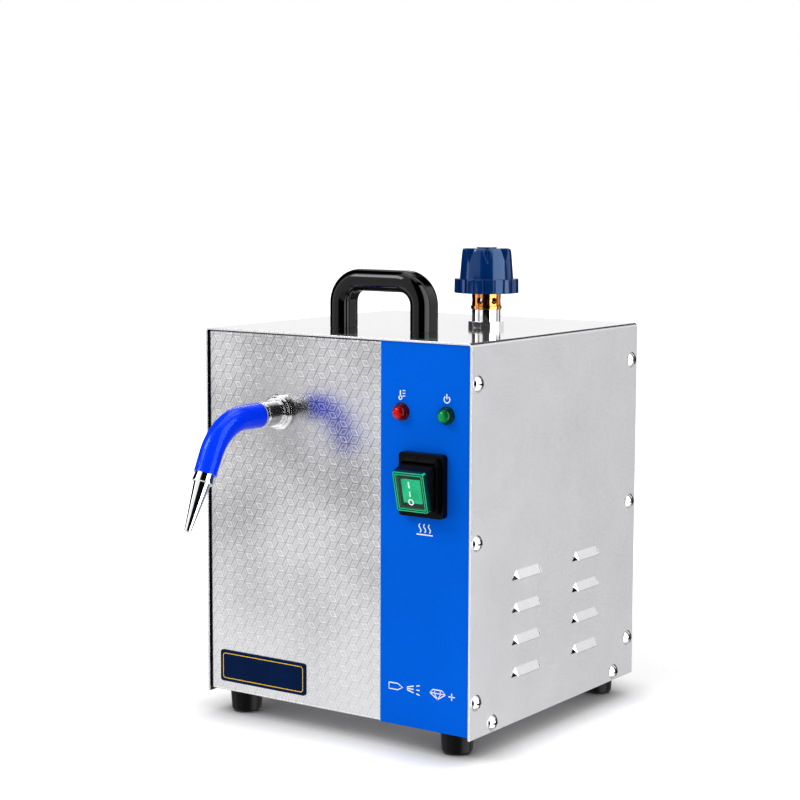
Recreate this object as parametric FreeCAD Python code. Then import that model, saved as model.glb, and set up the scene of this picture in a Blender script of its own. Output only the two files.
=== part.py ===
import FreeCAD, Part
import math
import os

# A bench steam cleaner for jewellery: a sheet-metal case round a small boiler, with a bent steam
# spout on the front, a filler cap and a handle on top, and a switch and two lamps on a blue stripe.
# Lengths are in millimetres and angles in degrees. Pieces are drawn in the frame of the case:
# x = 0 in its middle, y = 0 at its front edge, z = 0 at its lower edge. They are moved once, at the
# end, so that z = 0 is the table and the origin is under the middle of the whole outline.

# Case
case_width = 250.0
case_depth = 250.0
case_height = 293.0
cover_sheet = 1.5
cover_bend = 3.0
panel_sheet = 1.2
panel_bend = 2.0
panel_setback = 1.8
panel_rise = 2.0
sheet_gap = 0.2
flange_depth = 15.0
floor_flange_depth = 32.0
pan_side_height = 15.0
overcut = 1.0

# Louvres in the two side walls
louvre_rows = 4
louvre_front_inset = 79.5
louvre_rear_inset = 80.5
louvre_pitch = 24.9
louvre_first_top = 118.6
louvre_top_length = 32.0
louvre_slit_length = 43.0
louvre_height = 8.2
louvre_depth = 3.2
louvre_end_rise = 3.8
louvre_hollow_share = 0.6

# Domed cross-recess screws that hold the cover
screw_edge_front = 9.0
screw_edge_rear = 9.0
screw_low_front = 27.0
screw_low_rear = 31.0
screw_middle_drop = 0.5
screw_top_inset = 29.8
screw_floor_inset = 32.0
screw_floor_height = 6.9
screw_head_radius = 6.3
screw_head_height = 3.2
screw_shank_radius = 2.1
screw_shank_length = 9.0
screw_hole_gap = 0.1
recess_width = 1.5
recess_length = 6.4
recess_depth = 1.6

# Feet
foot_height = 16.7
foot_side_inset = 23.5
foot_front_y = 20.0
foot_rear_inset = 17.0
foot_top_radius = 13.0
foot_base_radius = 12.0
foot_round = 2.5
foot_round_share = 0.3
foot_recess_radius = 6.5
foot_recess_depth = 10.7
foot_screw_radius = 2.5
foot_screw_head_radius = 4.6
foot_screw_head_height = 3.4
foot_screw_length = 17.0
foot_nut_flats = 8.0
foot_nut_height = 4.0

# Handle
handle_inset = 95.0
handle_y = 24.0
handle_spacing = 74.0
handle_rise = 49.5
handle_thickness = 16.5
handle_width = 23.8
handle_corner = 8.0
handle_bend = 18.0
spacer_height = 4.2
spacer_groove = 0.5
handle_screw_radius = 3.0
handle_screw_head_radius = 5.8
handle_screw_head_height = 4.0
handle_screw_bite = 18.0
washer_radius = 6.8
washer_thickness = 1.5

# Blue control stripe on the right of the front panel
stripe_width = 81.4
stripe_thickness = 0.5

# Badge plate
badge_inset = 12.2
badge_bottom = 10.0
badge_width = 85.5
badge_height = 25.5
badge_thickness = 0.8
badge_corner = 2.5

# Rocker switch
switch_inset = 41.2
switch_drop = 106.0
bezel_width = 39.7
bezel_height = 47.5
bezel_depth = 8.6
bezel_step = 3.2
bezel_step_inset = 3.0
bezel_corner = 3.0
bezel_collar = 0.8
bezel_collar_rim = 1.4
bezel_collar_corner = 3.6
bezel_peg_radius = 0.8
bezel_peg_offset = 1.8
pocket_width = 29.7
pocket_height = 35.0
rocker_width = 28.5
rocker_height = 30.4
rocker_belly_height = 33.2
rocker_belly = 0.6
rocker_back_height = 18.0
rocker_back = 2.4
rocker_reach = 14.8
rocker_tilt = 13.4
rocker_corner = 2.5
cap_width = 27.5
cap_height = 31.0
cap_thickness = 3.8
cap_rim = 2.4
window_width = 15.8
window_height = 18.0
window_rise = 1.6
pivot_y = -3.6
pivot_radius = 1.6
pivot_bite = 1.4
pivot_gap = 0.05
housing_width = 29.0
housing_height = 37.0
housing_depth = 27.0
housing_wall = 1.8
housing_gap = 0.2
blade_width = 6.3
blade_thickness = 0.8
blade_length = 9.0
blade_spacing_x = 13.0
blade_spacing_z = 11.0

# Indicator lamps
lamp_red_inset = 62.0
lamp_green_inset = 22.2
lamp_drop = 53.5
lens_radius = 6.8
lens_ring = 2.6
lens_height = 8.2
lens_dome_radius = 5.9
lens_bore_depth = 4.0
lens_bevel_share = 0.7
lamp_body_radius = 5.0
lamp_body_length = 24.0
lamp_nut_flats = 14.0
lamp_nut_height = 3.0
lamp_pin_radius = 0.9
lamp_pin_length = 6.0
lamp_pin_spacing = 4.0

# Spout
spout_inset = 72.8
spout_fall = 62.0
flange_radius = 13.8
flange_thickness = 3.4
flange_step_radius = 12.2
flange_step = 3.2
collar_neck_radius = 8.8
collar_radius = 9.8
collar_neck = 2.6
collar_length = 13.2
collar_groove = 2.2
collar_lip = 1.5
shank_radius = 6.5
shank_length = 26.0
shank_gap = 0.1
spout_bore = 3.2
spout_pipe_radius = 5.0
spout_socket = 12.0
spout_locknut_flats = 19.0
spout_locknut_height = 6.0
spout_straight = 17.5
spout_bend = 43.0
spout_angle = 63.35
spout_drop = 15.4
sleeve_start_radius = 9.8
sleeve_end_radius = 8.65
sleeve_gap = 0.1
nozzle_collar_radius = 7.4
nozzle_collar_flare = 8.0
nozzle_collar_length = 7.4
nozzle_radius = 6.4
nozzle_tip_radius = 2.65
nozzle_length = 37.4
nozzle_bore = 1.3
nozzle_spigot = 4.0

# Boiler
boiler_side_room = 60.0
boiler_side_gap = 11.4
boiler_place_share = 0.556
boiler_wall = 2.0
boiler_low = 52.0
boiler_top_room = 81.0
dish_depth = 18.0
stand_sheet = 1.5
stand_overlap = 14.0
stand_tab_length = 14.0
stand_tab_width = 22.0
stand_window_width = 46.0
stand_window_height = 24.0
stand_window_rise = 12.0
stand_tab_turns = (45, 135, 225, 315)
stand_window_turns = (0, 90)
stand_bolt_radius = 2.5
stand_bolt_flats = 8.0
stand_bolt_head = 3.5

# Filler neck and cap
neck_radius = 11.4
neck_bore = 8.0
neck_rise = 14.2
neck_depth = 24.0
neck_nut_flats = 28.0
neck_nut_sides = 12
neck_nut_turn = 15.4
neck_nut_height = 4.8
neck_washer = 1.0
seal_seat_radius = 9.6
seal_seat_depth = 3.0
seal_thickness = 2.6
seal_gap = 0.3
stem_gap = 0.06
stem_length = 17.0
stem_ring_radius = 12.3
stem_ring_height = 3.2
relief_radius = 11.5
relief_height = 10.0
relief_chamber_radius = 5.5
relief_seat_radius = 2.6
relief_floor = 2.4
vent_count = 6
vent_radius = 2.6
vent_height = 3.8
vent_start_share = 0.8
vent_phase = -85.5
relief_ball_radius = 4.0
relief_ball_gap = 0.1
relief_spring_wire = 0.6
relief_spring_radius = 3.4
relief_spring_turns = 5
relief_plug_height = 4.0
stem_top_radius = 9.6
stem_top_height = 16.0
thread_pitch = 2.0
knob_skirt_radius = 25.6
knob_skirt_height = 11.2
knob_radius = 21.3
knob_top_radius = 19.6
knob_height = 24.0
knob_rounding = 2.0
knob_rounding_share = 0.3
knob_wall = 2.6
knob_hollow = 7.0
knob_lobes = 8
knob_notch_share = 0.65
knob_notch_width = 16.4
knob_notch_depth = 6.0
knob_notch_phase = -55.2
skirt_slots = 20
skirt_slot_width = 1.8
skirt_slot_depth = 1.4
skirt_slot_phase = -61.6
knob_disc_radius = 7.8
knob_disc_rise = 0.8
knob_disc_seat = 1.2

# Immersion heater
heater_z = 76.0
heater_boss_radius = 23.0
heater_boss_length = 12.0
heater_thread_radius = 17.0
heater_thread_length = 14.0
heater_flats = 44.0
heater_hex_height = 9.0
element_radius = 4.0
element_offset = 8.0
element_end_gap = 32.0
element_tail = 5.0
terminal_radius = 2.0
terminal_length = 10.0

# Thermal cut-out on a pad at the front of the boiler
cutout_z = 120.0
cutout_pad_width = 24.0
cutout_pad_height = 24.0
cutout_pad_rise = 2.0
cutout_radius = 8.0
cutout_depth = 9.0
cutout_ear = 1.0

# Pressure switch on top of the boiler
pressure_offset_share = 0.61538
pressure_boss_radius = 9.0
pressure_boss_drop = 57.0
pressure_hex_flats = 17.0
pressure_hex_height = 7.0
pressure_spigot_radius = 5.0
pressure_spigot = 8.0
pressure_body_radius = 15.0
pressure_body_height = 24.0
pressure_shoulder_share = 0.7
pressure_top_share = 0.8

# Steam pipe and solenoid valve
outlet_drop = 93.0
outlet_boss_radius = 9.0
outlet_boss_length = 9.0
pipe_radius = 4.0
pipe_wall = 1.0
pipe_bend = 13.0
pipe_nut_flats = 17.0
pipe_nut_height = 9.0
pipe_bite = 5.0
valve_place_share = 0.336
valve_width = 30.0
valve_length = 32.0
valve_height = 24.0
valve_bore = 3.0
guide_radius = 6.0
guide_wall = 0.9
guide_height = 37.0
guide_flange_radius = 10.0
guide_flange_height = 2.4
plunger_gap = 0.08
plunger_length = 24.0
plunger_travel = 2.5
plunger_stop = 4.0
valve_wall = 3.0
coil_radius = 17.0
coil_height = 30.0
coil_frame = 1.6
coil_nut_flats = 14.0
coil_nut_height = 4.0
plunger_spring_wire = 0.6
plunger_spring_radius = 3.4
plunger_spring_turns = 4

# Drain valve through the rear panel
drain_z = 66.0
drain_boss_radius = 10.0
drain_boss_length = 8.0
drain_pipe_radius = 6.0
drain_pipe_wall = 1.2
drain_shank_radius = 9.0
drain_shank_inside = 12.0
drain_nut_flats = 24.0
drain_nut_height = 5.0
drain_reach = 42.0
drain_hex_flats = 22.0
drain_hex_length = 8.0
drain_body_radius = 11.0
drain_ball_radius = 8.0
drain_ball_gap = 0.3
drain_ball_bore = 4.0
drain_spout_radius = 7.0
drain_stem_radius = 3.2
drain_stem_gap = 0.05
drain_gland_radius = 6.5
drain_gland_height = 5.0
lever_length = 46.0
lever_width = 11.0
lever_thickness = 2.5
lever_crank = 7.0
lever_nut_flats = 9.0
lever_nut_height = 4.0

# Mains inlet with a fuse drawer, foot-switch socket, and terminal block
inlet_inset = 55.0
inlet_z = 60.0
inlet_flange_width = 50.0
inlet_flange_height = 36.0
inlet_flange_thickness = 2.6
inlet_corner = 4.0
inlet_body_width = 27.6
inlet_body_height = 32.0
inlet_body_depth = 24.0
socket_width = 24.0
socket_height = 16.4
socket_depth = 16.0
socket_drop = 6.0
pin_width = 4.0
pin_thickness = 2.0
pin_length = 11.0
pin_spacing = 7.0
pin_offset = 2.0
drawer_width = 22.0
drawer_height = 8.4
drawer_depth = 18.0
drawer_gap = 0.3
drawer_lift = 10.2
drawer_face = 1.2
drawer_wall = 1.4
drawer_travel = 12.0
fuse_radius = 2.5
fuse_clearance = 0.2
inlet_screw_spacing = 40.0
inlet_screw_radius = 1.75
inlet_screw_head_radius = 3.2
inlet_screw_head_height = 2.2
inlet_screw_length = 9.0
pedal_z = 112.0
pedal_radius = 9.5
pedal_flange = 2.4
pedal_reach = 9.0
pedal_body_radius = 7.8
pedal_depth = 16.0
pedal_well_radius = 6.0
pedal_well_depth = 11.0
pedal_pin_radius = 0.8
pedal_pin_length = 5.0
pedal_pins = 3
pedal_pin_circle = 3.0
pedal_nut_flats = 21.0
pedal_nut_height = 3.0
block_inset = 40.0
block_rear_inset = 100.0
block_length = 64.0
block_width = 20.0
block_base_height = 8.0
block_wall_height = 16.0
block_poles = 5
block_wall = 1.8
block_screw_radius = 3.0
block_screw_height = 2.4

half_width = case_width / 2.0
wall_inside = half_width - cover_sheet
tray_half = wall_inside - sheet_gap
tray_top = case_height - cover_sheet - sheet_gap
face_y = panel_setback
face_inside_y = panel_setback + panel_sheet
rear_y = case_depth - panel_setback
rear_inside_y = rear_y - panel_sheet
stripe_y = face_y - stripe_thickness
pan_low = panel_rise + panel_sheet
pan_top = pan_low + panel_sheet

louvre_columns = (louvre_front_inset, case_depth - louvre_rear_inset)
screw_middle = case_height / 2.0 - screw_middle_drop
screw_top = case_height - screw_top_inset
handle_x = half_width - handle_inset
stripe_left = half_width - stripe_width
badge_left = badge_inset - half_width
switch_x = half_width - switch_inset
switch_z = case_height - switch_drop
lamp_red_x = half_width - lamp_red_inset
lamp_green_x = half_width - lamp_green_inset
lamp_z = case_height - lamp_drop
spout_x = spout_inset - half_width
spout_z = case_height - spout_fall
boiler_radius = half_width - boiler_side_room
boiler_x = half_width - boiler_side_gap - boiler_radius
boiler_y = case_depth * boiler_place_share
boiler_high = case_height - boiler_top_room
neck_top = case_height + neck_rise
pressure_offset = boiler_radius * pressure_offset_share
pressure_boss_top = case_height - pressure_boss_drop
outlet_z = case_height - outlet_drop
valve_y = case_depth * valve_place_share
element_reach = heater_boss_length + 2 * boiler_radius - boiler_wall - element_end_gap
inlet_x = inlet_inset - half_width
pedal_x = inlet_x
block_x = block_inset - half_width
block_y = case_depth - block_rear_inset

spout_turn = math.radians(spout_angle)
collar_front_y = (face_y - flange_thickness - flange_step - collar_neck - collar_length
                  - collar_groove - collar_lip)
sleeve_start_y = collar_front_y
bend_y = sleeve_start_y - spout_straight
bend_end_y = bend_y - spout_bend * math.sin(spout_turn)
bend_end_z = spout_z - spout_bend * (1 - math.cos(spout_turn))
tip_run = spout_drop + nozzle_collar_length + nozzle_length
tip_y = bend_end_y - tip_run * math.cos(spout_turn)
spout_reach = -(tip_y - nozzle_tip_radius * math.sin(spout_turn))
front_y = (spout_reach - case_depth - drain_reach) / 2.0

ORIGIN = FreeCAD.Vector(0, 0, 0)
ALONG_X = FreeCAD.Vector(1, 0, 0)
ALONG_Y = FreeCAD.Vector(0, 1, 0)
ALONG_Z = FreeCAD.Vector(0, 0, 1)
TO_FRONT = FreeCAD.Vector(0, -1, 0)
TO_LEFT = FreeCAD.Vector(-1, 0, 0)
DOWN = FreeCAD.Vector(0, 0, -1)
SPOUT_DOWN = FreeCAD.Vector(0, -math.cos(spout_turn), -math.sin(spout_turn))


def point(x, y, z):
    return FreeCAD.Vector(x, y, z)


def block(xs, ys, zs):
    """A box between two limits on each axis."""
    return Part.makeBox(xs[1] - xs[0], ys[1] - ys[0], zs[1] - zs[0], point(xs[0], ys[0], zs[0]))


def rod(radius, length, start, direction):
    return Part.makeCylinder(radius, length, start, direction)


def aimed(shape, start, direction, turn=0.0):
    """Move a shape drawn up the z axis so that it starts at a point and runs along a direction."""
    spin = FreeCAD.Rotation(ALONG_Z, turn)
    aim = FreeCAD.Rotation(ALONG_Z, direction)
    shape.Placement = FreeCAD.Placement(start, aim.multiply(spin))
    return shape


def turned(outline, start, direction):
    """Revolve an outline of (radius, height) pairs about its own axis."""
    corners = [point(radius, 0, height) for radius, height in outline]
    face = Part.Face(Part.makePolygon(corners + corners[:1]))
    return aimed(face.revolve(ORIGIN, ALONG_Z, 360), start, direction)


def dome(radius, height, start, direction):
    """A shallow dome: a slice of a ball that stands on a flat base."""
    ball = (radius * radius + height * height) / (2 * height)
    mid_angle = math.asin(radius / ball) / 2
    arc = Part.Arc(point(radius, 0, 0),
                   point(ball * math.sin(mid_angle), 0, height - ball * (1 - math.cos(mid_angle))),
                   point(0, 0, height)).toShape()
    wire = Part.Wire([Part.makeLine(ORIGIN, point(radius, 0, 0)), arc,
                      Part.makeLine(point(0, 0, height), ORIGIN)])
    return aimed(Part.Face(wire).revolve(ORIGIN, ALONG_Z, 360), start, direction)


def prism(sides, flats, height, start, direction, turn=0.0):
    """A nut blank: a regular prism with its outer corners turned off at the far end."""
    reach = flats / 2.0 / math.cos(math.pi / sides)
    spacing = 2 * math.pi / sides
    corners = [point(reach * math.cos(spacing * n), reach * math.sin(spacing * n), 0)
               for n in range(sides + 1)]
    blank = Part.Face(Part.makePolygon(corners)).extrude(point(0, 0, height))
    chamfer = reach - flats / 2.0
    turning = turned([(0, 0), (reach, 0), (reach, height - chamfer / 2), (flats / 2.0, height),
                      (0, height)], ORIGIN, ALONG_Z)
    return aimed(blank.common(turning), start, direction, turn)


def rounded_edges(shape, radius, direction, wanted):
    """Fillet the straight edges that run along a direction and whose middle is wanted."""
    chosen = []
    for edge in shape.Edges:
        run = edge.Vertexes[-1].Point.sub(edge.Vertexes[0].Point)
        if run.Length and abs(abs(run.normalize().dot(direction)) - 1) < 0.001:
            if wanted(edge.CenterOfMass):
                chosen.append(edge)
    return shape.makeFillet(radius, chosen)


def plate(xs, ys, zs, corner):
    """A plate that faces the front, with its four corners rounded."""
    return rounded_edges(block(xs, ys, zs), corner, ALONG_Y, lambda middle: True)


def mirrored(shape):
    """The same piece on the other side of the case."""
    return shape.mirror(ORIGIN, ALONG_X)


def bent_route(corners, bend):
    """A wire of straight runs joined by tangent arcs."""
    edges = []
    here = corners[0]
    for before, corner, after in zip(corners, corners[1:], corners[2:]):
        to_before = before.sub(corner).normalize()
        to_after = after.sub(corner).normalize()
        half_turn = math.pi / 2 - to_before.getAngle(to_after) / 2
        cut = bend * math.tan(half_turn)
        inward = to_before.add(to_after).normalize()
        middle = corner.add(inward.multiply(bend / math.cos(half_turn) - bend))
        arc_start = corner.add(FreeCAD.Vector(to_before).multiply(cut))
        arc_end = corner.add(FreeCAD.Vector(to_after).multiply(cut))
        edges.append(Part.makeLine(here, arc_start))
        edges.append(Part.Arc(arc_start, middle, arc_end).toShape())
        here = arc_end
    edges.append(Part.makeLine(here, corners[-1]))
    return Part.Wire(edges)


def swept(route, radius, end_radius=None):
    """A round bar along a route, tapered if it ends in another radius."""
    start = route.Edges[0].valueAt(route.Edges[0].FirstParameter)
    run = route.Edges[0].tangentAt(route.Edges[0].FirstParameter)
    rings = [Part.Wire(Part.makeCircle(radius, start, run))]
    if end_radius is not None:
        last = route.Edges[-1]
        rings.append(Part.Wire(Part.makeCircle(end_radius, last.valueAt(last.LastParameter),
                                               last.tangentAt(last.LastParameter))))
    return route.makePipeShell(rings, True, True)


def tube(corners, bend, radius, wall):
    route = bent_route(corners, bend)
    return swept(route, radius).cut(swept(route, radius - wall))


def coil(radius, wire, pitch, height, start):
    """An open coil spring that stands on a start point."""
    helix = Part.makeHelix(pitch, height, radius)
    ring = Part.Wire(Part.makeCircle(wire, point(radius, 0, 0), ALONG_Y))
    spring = Part.Wire(helix.Edges).makePipeShell([ring], True, True)
    spring.translate(start)
    return spring


def joined(shapes):
    return shapes[0].fuse(shapes[1:]).removeSplitter() if len(shapes) > 1 else shapes[0]


def domed_screw(head_radius, head_height, shank_radius, shank_length, start, inward):
    """A screw with a domed head on the start point and its shank along inward."""
    outward = FreeCAD.Vector(inward).multiply(-1)
    head = dome(head_radius, head_height, start, outward)
    for turn in (0, 90):
        slot = Part.makeBox(recess_length, recess_width, recess_depth + overcut,
                            point(-recess_length / 2, -recess_width / 2, head_height - recess_depth))
        head = head.cut(aimed(slot, start, outward, turn))
    return head.fuse(rod(shank_radius, shank_length, start, inward))


def panel_hole(radius, x, z, y=0.0):
    """A cutter that goes through a front or rear panel."""
    return rod(radius, panel_sheet + stripe_thickness + 2 * overcut,
               point(x, y - overcut, z), ALONG_Y)


def louvre_cutters_and_hood(y, top):
    """One pressed louvre on the right wall: its hood, and the slit behind it."""
    low = top - louvre_height
    shoulder = low + louvre_end_rise
    top_half = louvre_top_length / 2
    slit_half = louvre_slit_length / 2
    end_half = (top_half + slit_half) / 2

    def hood(inset):
        wall_x = half_width - inset - overcut / 2
        lip_x = half_width + louvre_depth - inset
        drop = inset
        upper = [point(wall_x, y - top_half + inset, top - drop), point(wall_x, y + top_half - inset, top - drop)]
        lip = [point(lip_x, y - top_half + inset, low - drop), point(lip_x, y + top_half - inset, low - drop)]
        side = [point(wall_x, y - end_half + inset, shoulder - drop),
                point(wall_x, y + end_half - inset, shoulder - drop)]
        faces = [(upper[0], upper[1], lip[1], lip[0]), (upper[0], lip[0], side[0]),
                 (upper[1], side[1], lip[1]), (side[0], lip[0], lip[1], side[1]),
                 (upper[0], side[0], side[1], upper[1])]
        shell = Part.makeShell([Part.Face(Part.makePolygon(list(f) + [f[0]])) for f in faces])
        return Part.makeSolid(shell)

    slit = [(y - top_half, top - cover_sheet), (y + top_half, top - cover_sheet),
            (y + end_half, shoulder), (y + slit_half, low), (y - slit_half, low),
            (y - end_half, shoulder)]
    corners = [point(wall_inside - overcut, a, b) for a, b in slit]
    cutter = Part.Face(Part.makePolygon(corners + corners[:1])).extrude(
        point(cover_sheet + overcut, 0, 0))
    return hood(0.0).cut(hood(cover_sheet * louvre_hollow_share)), cutter


def cover_screw_places():
    """(y, z) of every screw in one side wall."""
    rear = case_depth - screw_edge_rear
    places = [(screw_edge_front, screw_low_front), (rear, screw_low_rear)]
    for z in (screw_middle, screw_top):
        places += [(screw_edge_front, z), (rear, z)]
    for y in (screw_floor_inset, case_depth - screw_floor_inset):
        places.append((y, screw_floor_height))
    return places


def cover_shell():
    outer = rounded_edges(block((-half_width, half_width), (0, case_depth), (0, case_height)),
                          cover_bend, ALONG_Y, lambda middle: middle.z > case_height / 2)
    inner = rounded_edges(block((-wall_inside, wall_inside), (-overcut, case_depth + overcut),
                                (-overcut, case_height - cover_sheet)),
                          cover_bend - cover_sheet, ALONG_Y, lambda middle: middle.z > case_height / 2)
    cover = outer.cut(inner)
    hoods = []
    cutters = []
    for y in louvre_columns:
        for row in range(louvre_rows):
            hood, cutter = louvre_cutters_and_hood(y, louvre_first_top - row * louvre_pitch)
            hoods += [hood, mirrored(hood)]
            cutters += [cutter, mirrored(cutter)]
    for y, z in cover_screw_places():
        hole = rod(screw_shank_radius + screw_hole_gap, cover_sheet + 2 * overcut,
                   point(wall_inside - overcut, y, z), ALONG_X)
        cutters += [hole, mirrored(hole)]
    top = case_height - cover_sheet - overcut
    for side in (-1, 1):
        cutters.append(rod(handle_screw_radius + screw_hole_gap, cover_sheet + 2 * overcut,
                           point(handle_x + side * handle_spacing / 2, handle_y, top), ALONG_Z))
    cutters.append(rod(neck_radius + sheet_gap, cover_sheet + 2 * overcut,
                       point(boiler_x, boiler_y, top), ALONG_Z))
    return cover.cut(cutters).fuse(hoods)


def tray(face, inside, back):
    """A panel with flanges bent back on all four sides, between its face and the flanges' edge."""
    low, high = min(face, back), max(face, back)
    outer = block((-tray_half, tray_half), (low, high), (panel_rise, tray_top))
    on_face = lambda middle: abs(middle.y - face) < panel_sheet / 2
    outer = rounded_edges(outer, panel_bend, ALONG_X, on_face)
    outer = outer.makeFillet(panel_bend, [e for e in outer.Edges if is_corner_edge(e, face)])
    toward = 1 if back > face else -1
    hollow_low, hollow_high = sorted((inside, back + toward * overcut))
    hollow = block((-tray_half + panel_sheet, tray_half - panel_sheet), (hollow_low, hollow_high),
                   (panel_rise + panel_sheet, tray_top - panel_sheet))
    return outer.cut(hollow)


def is_corner_edge(edge, face):
    """True for the upright edges of a tray's face."""
    run = edge.Vertexes[-1].Point.sub(edge.Vertexes[0].Point)
    return (abs(edge.CenterOfMass.y - face) < panel_sheet / 2
            and abs(run.z) > tray_top / 2 and abs(run.x) < panel_sheet)


def tray_screw_holes(y_limit):
    """Pilot holes in a tray's side flanges, for the cover screws that reach them."""
    holes = []
    for y, z in cover_screw_places():
        if abs(y - y_limit) < flange_depth and z != screw_floor_height:
            hole = rod(screw_shank_radius, panel_sheet + 2 * overcut,
                       point(tray_half - panel_sheet - overcut, y, z), ALONG_X)
            holes += [hole, mirrored(hole)]
    return holes


def foot_places():
    return [(side * (half_width - foot_side_inset), y) for side in (-1, 1)
            for y in (foot_front_y, case_depth - foot_rear_inset)]


def foot_screw_holes():
    return [rod(foot_screw_radius + screw_hole_gap, 2 * panel_sheet + 2 * overcut,
                point(x, y, panel_rise - overcut), ALONG_Z) for x, y in foot_places()]


def front_panel():
    panel = tray(face_y, face_inside_y, face_y + flange_depth)
    ledge = block((-tray_half + panel_sheet, tray_half - panel_sheet),
                  (face_y + flange_depth, face_y + floor_flange_depth),
                  (panel_rise, panel_rise + panel_sheet))
    cutters = tray_screw_holes(face_y) + foot_screw_holes()
    cutters.append(panel_hole(shank_radius + shank_gap, spout_x, spout_z, face_y))
    for x in (lamp_red_x, lamp_green_x):
        cutters.append(panel_hole(lamp_body_radius + sheet_gap, x, lamp_z, face_y))
    cutters.append(block((switch_x - housing_width / 2 - housing_gap,
                          switch_x + housing_width / 2 + housing_gap),
                         (face_y - overcut, face_inside_y + overcut),
                         (switch_z - housing_height / 2 - housing_gap,
                          switch_z + housing_height / 2 + housing_gap)))
    return panel.fuse(ledge).removeSplitter().cut(cutters)


def rear_panel():
    panel = tray(rear_y, rear_inside_y, rear_y - flange_depth)
    ledge = block((-tray_half + panel_sheet, tray_half - panel_sheet),
                  (rear_y - floor_flange_depth, rear_y - flange_depth),
                  (panel_rise, panel_rise + panel_sheet))
    cutters = tray_screw_holes(rear_y) + foot_screw_holes()
    cutters.append(panel_hole(drain_shank_radius + shank_gap, boiler_x, drain_z, rear_inside_y))
    cutters.append(panel_hole(pedal_body_radius + shank_gap, pedal_x, pedal_z, rear_inside_y))
    cutters.append(block((inlet_x - inlet_body_width / 2 - housing_gap,
                          inlet_x + inlet_body_width / 2 + housing_gap),
                         (rear_inside_y - overcut, rear_y + overcut),
                         (inlet_z - inlet_body_height / 2 - housing_gap,
                          inlet_z + inlet_body_height / 2 + housing_gap)))
    for side in (-1, 1):
        cutters.append(panel_hole(inlet_screw_radius, inlet_x + side * inlet_screw_spacing / 2,
                                  inlet_z, rear_inside_y))
    return panel.fuse(ledge).removeSplitter().cut(cutters)


def base_pan():
    """The floor plate, with a side flange each side that the cover's lower screws reach."""
    inside = tray_half - panel_sheet - sheet_gap
    middle_low = face_y + flange_depth + sheet_gap
    middle_high = rear_y - flange_depth - sheet_gap
    pan = block((-inside, inside), (face_inside_y + sheet_gap, rear_inside_y - sheet_gap),
                (pan_low, pan_top))
    floor = block((-tray_half, tray_half), (middle_low, middle_high), (pan_low, pan_top))
    pieces = [pan, floor]
    for side in (-1, 1):
        xs = sorted((side * tray_half, side * (tray_half - panel_sheet)))
        pieces.append(block(xs, (middle_low, middle_high), (pan_low, pan_low + pan_side_height)))
    cutters = foot_screw_holes()
    for y in (screw_floor_inset, case_depth - screw_floor_inset):
        hole = rod(screw_shank_radius, panel_sheet + 2 * overcut,
                   point(tray_half - panel_sheet - overcut, y, screw_floor_height), ALONG_X)
        cutters += [hole, mirrored(hole)]
    for x, y in stand_bolt_places():
        cutters.append(rod(stand_bolt_radius + screw_hole_gap, panel_sheet + 2 * overcut,
                           point(x, y, pan_low - overcut), ALONG_Z))
    return joined(pieces).cut(cutters)


def cover_screws():
    screws = []
    for y, z in cover_screw_places():
        screw = domed_screw(screw_head_radius, screw_head_height, screw_shank_radius,
                            screw_shank_length, point(half_width, y, z), TO_LEFT)
        screws += [screw, mirrored(screw)]
    return screws


def rubber_feet():
    feet = []
    top = panel_rise
    height = foot_height + panel_rise
    for x, y in foot_places():
        foot = turned([(0, 0), (foot_base_radius - foot_round, 0),
                       (foot_base_radius - foot_round * foot_round_share, foot_round * foot_round_share),
                       (foot_base_radius, foot_round), (foot_top_radius, height), (0, height)],
                      point(x, y, top - height), ALONG_Z)
        recess = rod(foot_recess_radius, foot_recess_depth + overcut,
                     point(x, y, top - height - overcut), ALONG_Z)
        hole = rod(foot_screw_radius + screw_hole_gap, height, point(x, y, top - height), ALONG_Z)
        feet.append(foot.cut([recess, hole]))
    return feet


def foot_screws():
    screws = []
    seat = foot_recess_depth - foot_height
    for x, y in foot_places():
        head = rod(foot_screw_head_radius, foot_screw_head_height,
                   point(x, y, seat - foot_screw_head_height), ALONG_Z)
        slot = block((x - recess_width / 2, x + recess_width / 2),
                     (y - foot_screw_head_radius, y + foot_screw_head_radius),
                     (seat - foot_screw_head_height - overcut,
                      seat - foot_screw_head_height + recess_depth))
        shank = rod(foot_screw_radius, foot_screw_length, point(x, y, seat), ALONG_Z)
        screws.append(head.cut(slot).fuse(shank))
    return screws


def foot_nuts():
    return [prism(6, foot_nut_flats, foot_nut_height, point(x, y, pan_top), ALONG_Z)
            .cut(rod(foot_screw_radius, foot_nut_height, point(x, y, pan_top), ALONG_Z))
            for x, y in foot_places()]


def rounded_oblong(width, depth, corner, centre, first, second):
    """A wire with rounded corners round a centre, in the plane of two directions."""
    def at(a, b):
        return centre.add(FreeCAD.Vector(first).multiply(a)).add(FreeCAD.Vector(second).multiply(b))
    half_a, half_b = width / 2, depth / 2
    slant = corner * (1 - math.cos(math.radians(45)))
    edges = []
    signs = ((1, 1), (-1, 1), (-1, -1), (1, -1))
    for n, (a, b) in enumerate(signs):
        next_a, next_b = signs[(n + 1) % len(signs)]
        side_end = at(a * half_a, b * (half_b - corner))
        top_end = at(a * (half_a - corner), b * half_b)
        first_end, last_end = (side_end, top_end) if a * b > 0 else (top_end, side_end)
        arc_middle = at(a * (half_a - slant), b * (half_b - slant))
        edges.append(Part.Arc(first_end, arc_middle, last_end).toShape())
        if next_a * next_b > 0:
            following = at(next_a * half_a, next_b * (half_b - corner))
        else:
            following = at(next_a * (half_a - corner), next_b * half_b)
        edges.append(Part.makeLine(last_end, following))
    return Part.Wire(edges)


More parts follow.
